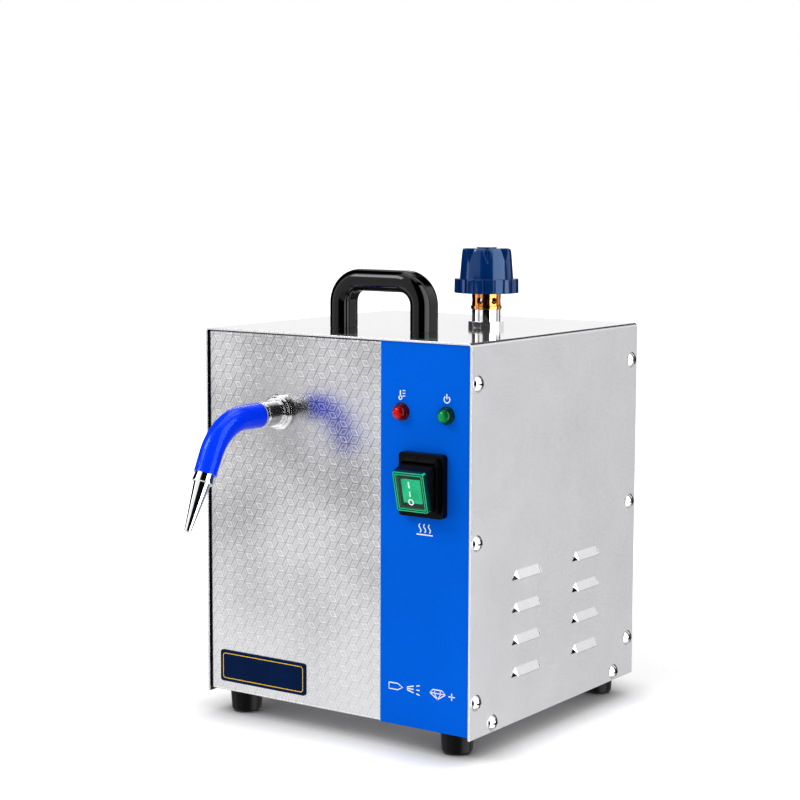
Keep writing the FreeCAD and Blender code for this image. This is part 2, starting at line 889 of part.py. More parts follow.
def handle():
    low = case_height + spacer_height
    high = case_height + handle_rise - handle_thickness / 2
    left = handle_x - handle_spacing / 2
    right = handle_x + handle_spacing / 2
    route = bent_route([point(left, handle_y, low), point(left, handle_y, high),
                        point(right, handle_y, high), point(right, handle_y, low)], handle_bend)
    section = rounded_oblong(handle_thickness, handle_width, handle_corner,
                             point(left, handle_y, low), ALONG_X, ALONG_Y)
    grip = route.makePipeShell([section], True, True)
    holes = [rod(handle_screw_radius, handle_screw_bite, point(x, handle_y, low), ALONG_Z)
             for x in (left, right)]
    return grip.cut(holes)


def handle_spacers():
    """The two end caps under the handle's legs, each with a fine groove round its top."""
    spacers = []
    for side in (-1, 1):
        x = handle_x + side * handle_spacing / 2
        bottom = rounded_oblong(handle_thickness, handle_width, handle_corner,
                                point(x, handle_y, case_height), ALONG_X, ALONG_Y)
        neck = rounded_oblong(handle_thickness - 2 * spacer_groove, handle_width - 2 * spacer_groove,
                              handle_corner - spacer_groove,
                              point(x, handle_y, case_height + spacer_height - spacer_groove),
                              ALONG_X, ALONG_Y)
        spacer = Part.Face(bottom).extrude(point(0, 0, spacer_height - spacer_groove))
        spacer = spacer.fuse(Part.Face(neck).extrude(point(0, 0, spacer_groove)))
        hole = rod(handle_screw_radius + screw_hole_gap, spacer_height,
                   point(x, handle_y, case_height), ALONG_Z)
        spacers.append(spacer.cut(hole))
    return spacers


def handle_screws():
    """Each screw and its washer, under the top of the cover."""
    pieces = []
    under = case_height - cover_sheet
    for side in (-1, 1):
        x = handle_x + side * handle_spacing / 2
        head_top = under - washer_thickness
        washer = rod(washer_radius, washer_thickness, point(x, handle_y, head_top), ALONG_Z)
        washer = washer.cut(rod(handle_screw_radius + screw_hole_gap, washer_thickness,
                                point(x, handle_y, head_top), ALONG_Z))
        head = prism(6, 2 * handle_screw_head_radius * math.cos(math.pi / 6),
                     handle_screw_head_height, point(x, handle_y, head_top), DOWN)
        length = washer_thickness + cover_sheet + spacer_height + handle_screw_bite - overcut
        shank = rod(handle_screw_radius, length, point(x, handle_y, head_top), ALONG_Z)
        pieces += [washer, head.fuse(shank)]
    return pieces


def control_stripe():
    stripe = block((stripe_left, tray_half), (stripe_y, face_y), (panel_rise, tray_top))
    cutters = [panel_hole(lamp_body_radius + sheet_gap, x, lamp_z, stripe_y)
               for x in (lamp_red_x, lamp_green_x)]
    cutters.append(block((switch_x - housing_width / 2 - housing_gap,
                          switch_x + housing_width / 2 + housing_gap),
                         (stripe_y - overcut, face_y + overcut),
                         (switch_z - housing_height / 2 - housing_gap,
                          switch_z + housing_height / 2 + housing_gap)))
    return stripe.cut(cutters)


def badge_plate():
    return plate((badge_left, badge_left + badge_width), (face_y - badge_thickness, face_y),
                 (badge_bottom, badge_bottom + badge_height), badge_corner)


def centred(middle, size):
    return (middle - size / 2, middle + size / 2)


def switch_bezel():
    """The stepped frame that lies on the stripe, with the bearings of the rocker's pivots."""
    front = stripe_y - bezel_depth
    step = front + bezel_step
    brow = front - bezel_collar
    lower = plate(centred(switch_x, bezel_width), (step, stripe_y),
                  centred(switch_z, bezel_height), bezel_corner)
    upper = plate(centred(switch_x, bezel_width - 2 * bezel_step_inset), (front, step),
                  centred(switch_z, bezel_height - 2 * bezel_step_inset), bezel_corner)
    collar = plate(centred(switch_x, pocket_width + 2 * bezel_collar_rim), (brow, step),
                   centred(switch_z, pocket_height + 2 * bezel_collar_rim), bezel_collar_corner)
    margin = (bezel_height / 2 - bezel_step_inset + pocket_height / 2 + bezel_collar_rim) / 2
    peg = rod(bezel_peg_radius, bezel_step + bezel_collar,
              point(switch_x - bezel_peg_offset, brow, switch_z + margin), ALONG_Y)
    pocket = block(centred(switch_x, pocket_width), (brow - overcut, stripe_y + overcut),
                   centred(switch_z, pocket_height))
    bearing = rod(pivot_radius + pivot_gap, pocket_width + 2 * (pivot_bite + pivot_gap),
                  point(switch_x - pocket_width / 2 - pivot_bite - pivot_gap, pivot_y, switch_z),
                  ALONG_X)
    return lower.fuse([upper, collar, peg]).removeSplitter().cut([pocket, bearing])


def switch_housing():
    """The body behind the panel, open to the front, with four blade terminals."""
    back = stripe_y + housing_depth
    body = block(centred(switch_x, housing_width), (stripe_y, back),
                 centred(switch_z, housing_height))
    room = block(centred(switch_x, housing_width - 2 * housing_wall),
                 (stripe_y - overcut, back - housing_wall),
                 centred(switch_z, housing_height - 2 * housing_wall))
    blades = []
    for a in (-1, 1):
        for b in (-1, 1):
            blades.append(block(centred(switch_x + a * blade_spacing_x / 2, blade_width),
                                (back, back + blade_length),
                                centred(switch_z + b * blade_spacing_z / 2, blade_thickness)))
    return body.cut(room).fuse(blades)


def rocker_tilted(shape):
    """Swing a piece of the rocker from straight ahead to its resting side."""
    shape.rotate(point(switch_x, pivot_y, switch_z), ALONG_X, rocker_tilt)
    return shape


def rocker():
    """The black carrier with its pivots. Its sides narrow towards the back so that it can swing."""
    seat = pivot_y - rocker_reach + cap_thickness
    belly = pivot_y + rocker_belly
    back = pivot_y + rocker_back
    outline = [(seat, rocker_height / 2), (belly, rocker_belly_height / 2),
               (back, rocker_back_height / 2), (back, -rocker_back_height / 2),
               (belly, -rocker_belly_height / 2), (seat, -rocker_height / 2)]
    corners = [point(switch_x - rocker_width / 2, y, switch_z + z) for y, z in outline]
    body = Part.Face(Part.makePolygon(corners + corners[:1])).extrude(point(rocker_width, 0, 0))
    length = pocket_width + 2 * pivot_bite
    pivots = rod(pivot_radius, length, point(switch_x - length / 2, pivot_y, switch_z), ALONG_X)
    return rocker_tilted(body.fuse(pivots))


def rocker_cap():
    """The clear green cap round the face of the rocker."""
    seat = pivot_y - rocker_reach + cap_thickness
    cap = plate(centred(switch_x, cap_width), (seat - cap_thickness, seat),
                centred(switch_z, cap_height), rocker_corner)
    room = block(centred(switch_x, cap_width - 2 * cap_rim),
                 (seat - window_rise - sheet_gap, seat + overcut),
                 centred(switch_z, cap_height - 2 * cap_rim))
    return rocker_tilted(cap.cut(room))


def rocker_window():
    """The lit window under the cap."""
    seat = pivot_y - rocker_reach + cap_thickness
    window = block(centred(switch_x, window_width), (seat - window_rise, seat),
                   centred(switch_z, window_height))
    return rocker_tilted(window)


def lamp_lens(x):
    """A domed lens with a stepped ring at its foot and a bore for the bulb."""
    step = lens_ring / 2
    step_radius = (lens_radius + lens_dome_radius) / 2
    ring = turned([(0, 0), (lens_radius, 0), (lens_radius, step * lens_bevel_share), (step_radius, step),
                   (step_radius, step + step * lens_bevel_share), (lens_dome_radius, lens_ring),
                   (0, lens_ring)], point(x, stripe_y, lamp_z), TO_FRONT)
    cap = dome(lens_dome_radius, lens_height - lens_ring,
               point(x, stripe_y - lens_ring, lamp_z), TO_FRONT)
    bore = rod(lamp_body_radius - sheet_gap, lens_bore_depth,
               point(x, stripe_y, lamp_z), TO_FRONT)
    return ring.fuse(cap).cut(bore)


def lamp_bodies():
    """The two lamp barrels behind the stripe, each with a pair of terminals."""
    bodies = []
    for x in (lamp_red_x, lamp_green_x):
        barrel = rod(lamp_body_radius, lamp_body_length, point(x, stripe_y, lamp_z), ALONG_Y)
        pins = [rod(lamp_pin_radius, lamp_pin_length,
                    point(x + side * lamp_pin_spacing / 2, stripe_y + lamp_body_length, lamp_z),
                    ALONG_Y) for side in (-1, 1)]
        bodies.append(barrel.fuse(pins))
    return bodies


def ring_nut(sides, flats, height, bore, start, direction, turn=0.0):
    nut = prism(sides, flats, height, start, direction, turn)
    return nut.cut(rod(bore, height, start, direction))


def lamp_nuts():
    return [ring_nut(6, lamp_nut_flats, lamp_nut_height, lamp_body_radius,
                     point(x, face_inside_y, lamp_z), ALONG_Y) for x in (lamp_red_x, lamp_green_x)]


def spout_flange():
    """The round rose that lies on the front panel, with a raised step."""
    full = flange_thickness + flange_step
    bore = shank_radius + shank_gap
    bevel = flange_radius - flange_step_radius
    return turned([(bore, 0), (flange_radius, 0), (flange_radius, flange_thickness - bevel / 2),
                   (flange_radius - bevel / 2, flange_thickness),
                   (flange_step_radius, flange_thickness), (flange_step_radius, full - bevel / 2),
                   (flange_step_radius - bevel / 2, full), (bore, full)],
                  point(spout_x, face_y, spout_z), TO_FRONT)


def spout_union():
    """The collar in front of the rose, and its threaded shank through the panel."""
    start = face_y - flange_thickness - flange_step
    height = collar_neck
    outline = [(spout_bore, 0), (collar_neck_radius, 0), (collar_neck_radius, height)]
    outline += [(collar_radius, height), (collar_radius, height + collar_length)]
    height += collar_length
    outline += [(collar_neck_radius, height), (collar_neck_radius, height + collar_groove)]
    height += collar_groove
    outline += [(collar_radius - sheet_gap, height), (collar_radius - sheet_gap, height + collar_lip)]
    height += collar_lip
    outline += [(spout_pipe_radius, height), (spout_pipe_radius, height - spout_socket),
                (spout_bore, height - spout_socket)]
    collar = turned(outline, point(spout_x, start, spout_z), TO_FRONT)
    inner = shank_length + face_inside_y - start
    shank = turned([(spout_bore, 0), (shank_radius, 0), (shank_radius, inner),
                    (pipe_radius, inner), (pipe_radius, inner - pipe_bite),
                    (spout_bore, inner - pipe_bite)], point(spout_x, start, spout_z), ALONG_Y)
    return collar.fuse(shank)


def spout_locknut():
    return ring_nut(6, spout_locknut_flats, spout_locknut_height, shank_radius,
                    point(spout_x, face_inside_y, spout_z), ALONG_Y)


def spout_route(start_y, end_run):
    """The centre line of the spout: straight out, one bend down, and straight again."""
    bend_mid = spout_turn / 2
    start = point(spout_x, start_y, spout_z)
    bend_start = point(spout_x, bend_y, spout_z)
    middle = point(spout_x, bend_y - spout_bend * math.sin(bend_mid),
                   spout_z - spout_bend * (1 - math.cos(bend_mid)))
    bend_end = point(spout_x, bend_end_y, bend_end_z)
    end = bend_end.add(FreeCAD.Vector(SPOUT_DOWN).multiply(end_run))
    return Part.Wire([Part.makeLine(start, bend_start),
                      Part.Arc(bend_start, middle, bend_end).toShape(),
                      Part.makeLine(bend_end, end)])


def spout_end(run):
    """A point on the straight lower part of the spout, a given run past the bend."""
    return point(spout_x, bend_end_y, bend_end_z).add(FreeCAD.Vector(SPOUT_DOWN).multiply(run))


def spout_pipe():
    route = spout_route(sleeve_start_y + spout_socket, spout_drop + nozzle_collar_length - nozzle_spigot)
    return swept(route, spout_pipe_radius).cut(swept(route, spout_bore))


def spout_sleeve():
    """The soft sleeve over the pipe, a little thinner towards the nozzle."""
    route = spout_route(sleeve_start_y, spout_drop)
    skin = swept(route, sleeve_start_radius, sleeve_end_radius)
    return skin.cut(swept(route, spout_pipe_radius + sleeve_gap))


def nozzle_collar():
    bore = spout_pipe_radius + sleeve_gap
    edge = nozzle_collar_flare - nozzle_collar_radius
    return turned([(bore, 0), (nozzle_collar_radius, 0),
                   (nozzle_collar_flare, nozzle_collar_length - 2 * edge),
                   (nozzle_collar_flare, nozzle_collar_length - edge),
                   (nozzle_collar_radius, nozzle_collar_length), (bore, nozzle_collar_length)],
                  spout_end(spout_drop), SPOUT_DOWN)


def nozzle_tip():
    """The tapered nozzle, with a spigot up into the collar."""
    spigot = spout_pipe_radius
    return turned([(nozzle_bore, -nozzle_spigot), (spigot, -nozzle_spigot), (spigot, 0),
                   (nozzle_radius, 0), (nozzle_tip_radius, nozzle_length),
                   (nozzle_bore, nozzle_length)],
                  spout_end(spout_drop + nozzle_collar_length), SPOUT_DOWN)


def dish_outline(radius, low, high, depth):
    """Half the outline of a drum with dished ends, as (radius, height) pairs on arcs."""
    ball = (radius * radius + depth * depth) / (2 * depth)
    half = math.asin(radius / ball) / 2
    mid_radius = ball * math.sin(half)
    mid_depth = depth - ball * (1 - math.cos(half))
    bottom = Part.Arc(point(0, 0, low - depth), point(mid_radius, 0, low - mid_depth),
                      point(radius, 0, low)).toShape()
    side = Part.makeLine(point(radius, 0, low), point(radius, 0, high))
    top = Part.Arc(point(radius, 0, high), point(mid_radius, 0, high + mid_depth),
                   point(0, 0, high + depth)).toShape()
    axis = Part.makeLine(point(0, 0, high + depth), point(0, 0, low - depth))
    return Part.Face(Part.Wire([bottom, side, top, axis]))


def drum(radius, low, high, depth):
    solid = dish_outline(radius, low, high, depth).revolve(ORIGIN, ALONG_Z, 360)
    solid.translate(point(boiler_x, boiler_y, 0))
    return solid


def boiler_tank():
    """A welded drum with dished ends and its bosses."""
    outside = drum(boiler_radius, boiler_low, boiler_high, dish_depth)
    inside = drum(boiler_radius - boiler_wall, boiler_low, boiler_high, dish_depth - boiler_wall)
    heater_face = boiler_x - boiler_radius - heater_boss_length
    outlet_face = boiler_x - boiler_radius - outlet_boss_length
    drain_face = boiler_y + boiler_radius + drain_boss_length
    pad_face = boiler_y - boiler_radius - cutout_pad_rise
    bosses = [
        rod(heater_boss_radius, boiler_radius, point(heater_face, boiler_y, heater_z), ALONG_X),
        rod(outlet_boss_radius, boiler_radius, point(outlet_face, boiler_y, outlet_z), ALONG_X),
        rod(drain_boss_radius, boiler_radius, point(boiler_x, drain_face, drain_z), TO_FRONT),
        rod(pressure_boss_radius, pressure_boss_top - boiler_high,
            point(boiler_x, boiler_y + pressure_offset, boiler_high), ALONG_Z),
        block(centred(boiler_x, cutout_pad_width), (pad_face, boiler_y),
              centred(cutout_z, cutout_pad_height)),
    ]
    cutters = [
        inside,
        rod(heater_thread_radius, boiler_radius, point(heater_face, boiler_y, heater_z), ALONG_X),
        rod(pipe_radius, pipe_bite, point(outlet_face, boiler_y, outlet_z), ALONG_X),
        rod(pipe_radius - pipe_wall, boiler_radius, point(outlet_face, boiler_y, outlet_z), ALONG_X),
        rod(drain_pipe_radius, pipe_bite, point(boiler_x, drain_face, drain_z), TO_FRONT),
        rod(drain_pipe_radius - drain_pipe_wall, boiler_radius,
            point(boiler_x, drain_face, drain_z), TO_FRONT),
        rod(pressure_spigot_radius, pressure_boss_top - boiler_high + dish_depth,
            point(boiler_x, boiler_y + pressure_offset, boiler_high - dish_depth), ALONG_Z),
        rod(neck_radius, 2 * dish_depth, point(boiler_x, boiler_y, boiler_high), ALONG_Z),
    ]
    return outside.fuse(bosses).cut(cutters)


def stand_bolt_places():
    reach = boiler_radius + stand_sheet + stand_tab_length / 2
    return [(boiler_x + reach * math.cos(math.radians(turn)),
             boiler_y + reach * math.sin(math.radians(turn))) for turn in stand_tab_turns]


def boiler_stand():
    """A rolled ring round the foot of the boiler, with windows and four bolting tabs."""
    top = boiler_low + stand_overlap
    outer = boiler_radius + stand_sheet
    ring = rod(outer, top - pan_top, point(boiler_x, boiler_y, pan_top), ALONG_Z)
    bore = rod(boiler_radius, top - pan_top, point(boiler_x, boiler_y, pan_top), ALONG_Z)
    pieces = [ring.cut(bore)]
    holes = []
    centre = point(boiler_x, boiler_y, 0)
    for turn in stand_tab_turns:
        tab = block((boiler_radius + stand_sheet / 2, outer + stand_tab_length),
                    centred(0, stand_tab_width), (pan_top, pan_top + stand_sheet))
        tab.rotate(ORIGIN, ALONG_Z, turn)
        tab.translate(centre)
        pieces.append(tab)
    for x, y in stand_bolt_places():
        holes.append(rod(stand_bolt_radius + screw_hole_gap, stand_sheet, point(x, y, pan_top), ALONG_Z))
    for turn in stand_window_turns:
        window = block(centred(0, 2 * outer + overcut), centred(0, stand_window_width),
                       (pan_top + stand_window_rise, pan_top + stand_window_rise + stand_window_height))
        window.rotate(ORIGIN, ALONG_Z, turn)
        window.translate(centre)
        holes.append(window)
    holes.append(rod(heater_boss_radius + sheet_gap, boiler_radius,
                     point(boiler_x - outer - overcut, boiler_y, heater_z), ALONG_X))
    holes.append(rod(drain_boss_radius + sheet_gap, boiler_radius,
                     point(boiler_x, boiler_y + outer + overcut, drain_z), TO_FRONT))
    return joined(pieces).cut(holes)


def stand_bolts():
    """Four bolts up through the floor, each with a nut on its tab."""
    pieces = []
    nut_low = pan_top + stand_sheet
    for x, y in stand_bolt_places():
        head = prism(6, stand_bolt_flats, stand_bolt_head, point(x, y, pan_low), DOWN)
        length = panel_sheet + stand_sheet + foot_nut_height + overcut
        shank = rod(stand_bolt_radius, length, point(x, y, pan_low), ALONG_Z)
        nut = ring_nut(6, stand_bolt_flats, foot_nut_height, stand_bolt_radius,
                       point(x, y, nut_low), ALONG_Z)
        pieces += [head.fuse(shank), nut]
    return pieces


def filler_neck():
    """The tube from the top of the boiler through the cover, with a seat for the cap's seal."""
    low = boiler_high + dish_depth - neck_depth
    neck = rod(neck_radius, neck_top - low, point(boiler_x, boiler_y, low), ALONG_Z)
    bore = rod(neck_bore, neck_top - low, point(boiler_x, boiler_y, low), ALONG_Z)
    seat = rod(seal_seat_radius, seal_seat_depth,
               point(boiler_x, boiler_y, neck_top - seal_seat_depth), ALONG_Z)
    return neck.cut([bore, seat])


def neck_nut():
    """The nut that clamps the cover round the neck, on a thin washer face."""
    start = point(boiler_x, boiler_y, case_height)
    washer = rod(neck_nut_flats / 2, neck_washer, start, ALONG_Z)
    nut = prism(neck_nut_sides, neck_nut_flats, neck_nut_height, start, ALONG_Z, neck_nut_turn)
    return washer.fuse(nut).cut(rod(neck_radius, neck_nut_height, start, ALONG_Z))


seal_low = neck_top - seal_seat_depth
ring_low = neck_top
ring_high = ring_low + stem_ring_height
relief_top = ring_high + relief_height
plug_low = relief_top - relief_plug_height
ball_seat = ring_high + relief_floor
ball_centre = (ball_seat + relief_ball_gap
               + math.sqrt(relief_ball_radius ** 2 - relief_seat_radius ** 2))
stem_top = relief_top + stem_top_height
knob_low = relief_top
skirt_top = knob_low + knob_skirt_height
knob_top = skirt_top + knob_height


def cap_seal():
    """The rubber ring under the cap, in its seat in the neck."""
    return turned([(neck_bore - stem_gap + sheet_gap, 0), (seal_seat_radius - seal_gap, 0),
                   (seal_seat_radius - seal_gap, seal_thickness),
                   (neck_bore - stem_gap + sheet_gap, seal_thickness)],
                  point(boiler_x, boiler_y, seal_low + sheet_gap), ALONG_Z)


def cap_stem():
    """The brass plug of the cap: screwed part, ring, vented relief body and moulded-in top."""
    plug = neck_bore - stem_gap
    low = neck_top - stem_length
    chamfer = plug - relief_seat_radius
    outline = [(relief_seat_radius, low), (plug - chamfer / 4, low), (plug, low + chamfer / 4),
               (plug, ring_low + sheet_gap), (stem_ring_radius - sheet_gap, ring_low + sheet_gap),
               (stem_ring_radius, ring_low + 3 * sheet_gap), (stem_ring_radius, ring_high - 2 * sheet_gap),
               (stem_ring_radius - 2 * sheet_gap, ring_high), (relief_radius, ring_high),
               (relief_radius, relief_top), (stem_top_radius, relief_top), (stem_top_radius, stem_top),
               (relief_chamber_radius, stem_top), (relief_chamber_radius, ball_seat),
               (relief_seat_radius, ball_seat)]
    stem = turned(outline, point(boiler_x, boiler_y, 0), ALONG_Z)
    vents = []
    for n in range(vent_count):
        angle = math.radians(vent_phase + n * 360.0 / vent_count)
        aim = point(math.cos(angle), math.sin(angle), 0)
        start = point(boiler_x, boiler_y, ring_high + vent_height)
        start = start.add(point(aim.x, aim.y, 0).multiply(relief_chamber_radius * vent_start_share))
        vents.append(rod(vent_radius, stem_ring_radius, start, aim))
    return stem.cut(vents)


def knob_notch(n):
    """A V-shaped notch cut down the side of the knob from its top."""
    depth = knob_height * knob_notch_share
    half = knob_notch_width / 2
    inner = knob_top_radius - knob_notch_depth
    tip = point(knob_radius + overcut, 0, knob_top - depth)
    wide_low = [point(knob_radius + overcut, -half, knob_top + overcut),
                point(knob_radius + overcut, half, knob_top + overcut)]
    root = point(inner, 0, knob_top + overcut)
    faces = [(tip, wide_low[0], wide_low[1]), (tip, root, wide_low[0]), (tip, wide_low[1], root),
             (root, wide_low[1], wide_low[0])]
    notch = Part.makeSolid(Part.makeShell([Part.Face(Part.makePolygon(list(f) + [f[0]]))
                                           for f in faces]))
    notch.rotate(ORIGIN, ALONG_Z, knob_notch_phase + n * 360.0 / knob_lobes)
    notch.translate(point(boiler_x, boiler_y, 0))
    return notch


def cap_knob():
    """The moulded knob: a ribbed skirt below and a notched grip above."""
    centre = point(boiler_x, boiler_y, 0)
    hub = relief_radius + knob_wall
    shell = knob_skirt_radius - knob_wall
    outline = [(hub, knob_low), (hub, knob_low + knob_hollow), (shell, knob_low + knob_hollow),
               (shell, knob_low), (knob_skirt_radius, knob_low),
               (knob_skirt_radius - sheet_gap, skirt_top - knob_rounding / 4),
               (knob_skirt_radius - knob_rounding / 4, skirt_top), (knob_radius, skirt_top),
               (knob_top_radius, knob_top - knob_rounding),
               (knob_top_radius - knob_rounding * knob_rounding_share,
                knob_top - knob_rounding * knob_rounding_share),
               (knob_top_radius - knob_rounding, knob_top), (0, knob_top), (0, stem_top),
               (stem_top_radius, stem_top), (stem_top_radius, knob_low)]
    knob = turned(outline, centre, ALONG_Z)
    cutters = [knob_notch(n) for n in range(knob_lobes)]
    for n in range(skirt_slots):
        slot = block((knob_skirt_radius - skirt_slot_depth, knob_skirt_radius + overcut),
                     centred(0, skirt_slot_width), (knob_low - overcut, skirt_top + overcut))
        slot.rotate(ORIGIN, ALONG_Z, skirt_slot_phase + n * 360.0 / skirt_slots)
        slot.translate(centre)
        cutters.append(slot)
    cutters.append(rod(knob_disc_radius, knob_disc_seat + overcut,
                       point(boiler_x, boiler_y, knob_top - knob_disc_seat), ALONG_Z))
    return knob.cut(cutters)


def cap_disc():
    """The small plug pressed into the top of the knob."""
    return rod(knob_disc_radius, knob_disc_seat + knob_disc_rise,
               point(boiler_x, boiler_y, knob_top - knob_disc_seat), ALONG_Z)


def relief_ball():
    return Part.makeSphere(relief_ball_radius, point(boiler_x, boiler_y, ball_centre))


def relief_plug():
    """The adjusting plug that holds the relief spring down."""
    low = stem_top - relief_plug_height
    plug = rod(relief_chamber_radius, relief_plug_height, point(boiler_x, boiler_y, low), ALONG_Z)
    slot = block(centred(boiler_x, 2 * relief_chamber_radius), centred(boiler_y, recess_width),
                 (stem_top - recess_depth, stem_top + overcut))
    return plug.cut(slot)


def relief_spring():
    reach = relief_ball_radius + relief_spring_wire + relief_ball_gap
    low = ball_centre + math.sqrt(reach ** 2 - relief_spring_radius ** 2)
    height = stem_top - relief_plug_height - relief_spring_wire - low
    return coil(relief_spring_radius, relief_spring_wire, height / relief_spring_turns, height,
                point(boiler_x, boiler_y, low))


def heater_plug():
    face = boiler_x - boiler_radius - heater_boss_length
    thread = rod(heater_thread_radius, heater_thread_length, point(face, boiler_y, heater_z), ALONG_X)
    head = prism(6, heater_flats, heater_hex_height, point(face, boiler_y, heater_z), TO_LEFT)
    holes = []
    for a in (-1, 1):
        for b in (-1, 1):
            holes.append(rod(element_radius, heater_thread_length + heater_hex_height + 2 * overcut,
                             point(face - heater_hex_height - overcut,
                                   boiler_y + a * element_offset, heater_z + b * element_offset),
                             ALONG_X))
    return head.fuse(thread).cut(holes)


def heating_element():
    """Two hairpins side by side, one above the other, with their terminals."""
    face = boiler_x - boiler_radius - heater_boss_length
    outside = face - heater_hex_height - element_tail
    far = face + element_reach - element_offset
    pieces = []
    for level in (-1, 1):
        z = heater_z + level * element_offset
        legs = [point(outside, boiler_y + side * element_offset, z) for side in (-1, 1)]
        bends = [point(far, boiler_y + side * element_offset, z) for side in (-1, 1)]
        route = Part.Wire([Part.makeLine(legs[0], bends[0]),
                           Part.Arc(bends[0], point(far + element_offset, boiler_y, z),
                                    bends[1]).toShape(),
                           Part.makeLine(bends[1], legs[1])])
        hairpin = swept(route, element_radius)
        ends = [rod(terminal_radius, terminal_length, leg, TO_LEFT) for leg in legs]
        pieces.append(hairpin.fuse(ends))
    return pieces


def thermal_cutout():
    face = boiler_y - boiler_radius - cutout_pad_rise
    can = rod(cutout_radius, cutout_depth, point(boiler_x, face, cutout_z), TO_FRONT)
    ears = block(centred(boiler_x, cutout_pad_width), (face - cutout_ear, face),
                 centred(cutout_z, cutout_radius))
    blades = [block(centred(boiler_x + side * cutout_radius / 2, blade_thickness),
                    (face - cutout_depth - blade_length, face - cutout_depth),
                    centred(cutout_z, blade_width)) for side in (-1, 1)]
    return can.fuse([ears] + blades)


def pressure_switch():
    y = boiler_y + pressure_offset
    base = pressure_boss_top
    spigot = rod(pressure_spigot_radius, pressure_spigot, point(boiler_x, y, base), DOWN)
    hexagon = prism(6, pressure_hex_flats, pressure_hex_height, point(boiler_x, y, base), ALONG_Z)
    low = base + pressure_hex_height
    body = turned([(0, low), (pressure_body_radius, low),
                   (pressure_body_radius, low + pressure_body_height * pressure_shoulder_share),
                   (pressure_body_radius * pressure_top_share, low + pressure_body_height),
                   (0, low + pressure_body_height)], point(boiler_x, y, 0), ALONG_Z)
    top = low + pressure_body_height
    blades = [block(centred(boiler_x + side * pressure_body_radius / 3, blade_thickness),
                    centred(y, blade_width), (top, top + blade_length)) for side in (-1, 1)]
    return hexagon.fuse([spigot, body] + blades)


valve_low_y = valve_y - valve_length / 2
valve_high_y = valve_y + valve_length / 2
shank_end_y = face_inside_y + shank_length


def steam_pipes():
    """The pipe from the boiler to the valve, and the short one from the valve to the spout."""
    outlet_face = boiler_x - boiler_radius - outlet_boss_length
    supply = tube([point(outlet_face + pipe_bite, boiler_y, outlet_z),
                   point(spout_x, boiler_y, outlet_z), point(spout_x, boiler_y, spout_z),
                   point(spout_x, valve_high_y - pipe_bite, spout_z)],
                  pipe_bend, pipe_radius, pipe_wall)
    run_start = shank_end_y - pipe_bite
    run = valve_low_y + pipe_bite - run_start
    delivery = rod(pipe_radius, run, point(spout_x, run_start, spout_z), ALONG_Y)
    delivery = delivery.cut(rod(pipe_radius - pipe_wall, run, point(spout_x, run_start, spout_z),
                                ALONG_Y))
    return [supply, delivery]


def pipe_nuts():
    outlet_face = boiler_x - boiler_radius - outlet_boss_length
    places = [(point(outlet_face, boiler_y, outlet_z), TO_LEFT),
              (point(spout_x, valve_high_y, spout_z), ALONG_Y),
              (point(spout_x, valve_low_y, spout_z), TO_FRONT),
              (point(spout_x, shank_end_y, spout_z), ALONG_Y)]
    return [ring_nut(6, pipe_nut_flats, pipe_nut_height, pipe_radius, start, direction)
            for start, direction in places]


valve_top = spout_z + valve_height / 2
guide_seat = valve_top - valve_wall


def solenoid_body():
    """The brass valve block, bored along its length, with a well for the guide tube on top."""
    body = block(centred(spout_x, valve_width), (valve_low_y, valve_high_y),
                 centred(spout_z, valve_height))
    body = rounded_edges(body, valve_wall, ALONG_Z, lambda middle: True)
    cutters = [
        rod(pipe_radius, pipe_bite, point(spout_x, valve_low_y, spout_z), ALONG_Y),
        rod(pipe_radius, pipe_bite, point(spout_x, valve_high_y, spout_z), TO_FRONT),
        rod(valve_bore, valve_length / 2 - valve_wall, point(spout_x, valve_low_y, spout_z), ALONG_Y),
        rod(valve_bore, valve_length / 2 - valve_wall, point(spout_x, valve_high_y, spout_z), TO_FRONT),
        rod(guide_radius - guide_wall, valve_height / 2, point(spout_x, valve_y, guide_seat), ALONG_Z),
    ]
    return body.cut(cutters)


def solenoid_tube():
    """The closed tube that guides the plunger."""
    bore = guide_radius - guide_wall
    top = valve_top + guide_height
    tube_outline = [(bore, valve_top), (guide_flange_radius, valve_top),
                    (guide_flange_radius, valve_top + guide_flange_height),
                    (guide_radius, valve_top + guide_flange_height), (guide_radius, top),
                    (0, top), (0, top - plunger_stop), (bore, top - plunger_stop)]
    return turned(tube_outline, point(spout_x, valve_y, 0), ALONG_Z)


def solenoid_plunger():
    """The plunger, resting on the valve seat, with a pocket for its spring."""
    radius = guide_radius - guide_wall - plunger_gap
    return turned([(0, guide_seat), (radius, guide_seat), (radius, guide_seat + plunger_length),
                   (0, guide_seat + plunger_length)], point(spout_x, valve_y, 0), ALONG_Z)


def solenoid_spring():
    low = guide_seat + plunger_length + plunger_spring_wire + sheet_gap
    high = valve_top + guide_height - plunger_stop - plunger_spring_wire - sheet_gap
    height = high - low
    return coil(plunger_spring_radius, plunger_spring_wire, height / plunger_spring_turns, height,
                point(spout_x, valve_y, low))


def solenoid_coil():
    """The encapsulated winding in its steel bracket, held by a nut on the tube."""
    low = valve_top + guide_flange_height
    winding = rod(coil_radius, coil_height, point(spout_x, valve_y, low), ALONG_Z)
    frame = [block(centred(spout_x, 2 * coil_radius + 2 * coil_frame), centred(valve_y, coil_radius),
                   (level, level + coil_frame)) for level in (low, low + coil_height - coil_frame)]
    sides = [block(sorted((spout_x + side * (coil_radius - coil_frame),
                           spout_x + side * (coil_radius + coil_frame))),
                   centred(valve_y, coil_radius), (low, low + coil_height)) for side in (-1, 1)]
    blades = [block(centred(spout_x + side * coil_radius / 2, blade_width),
                    (valve_y - coil_radius - blade_length, valve_y),
                    centred(low + coil_height / 2, blade_thickness)) for side in (-1, 1)]
    bore = rod(guide_radius, coil_height, point(spout_x, valve_y, low), ALONG_Z)
    return winding.fuse(frame + sides + blades).cut(bore)


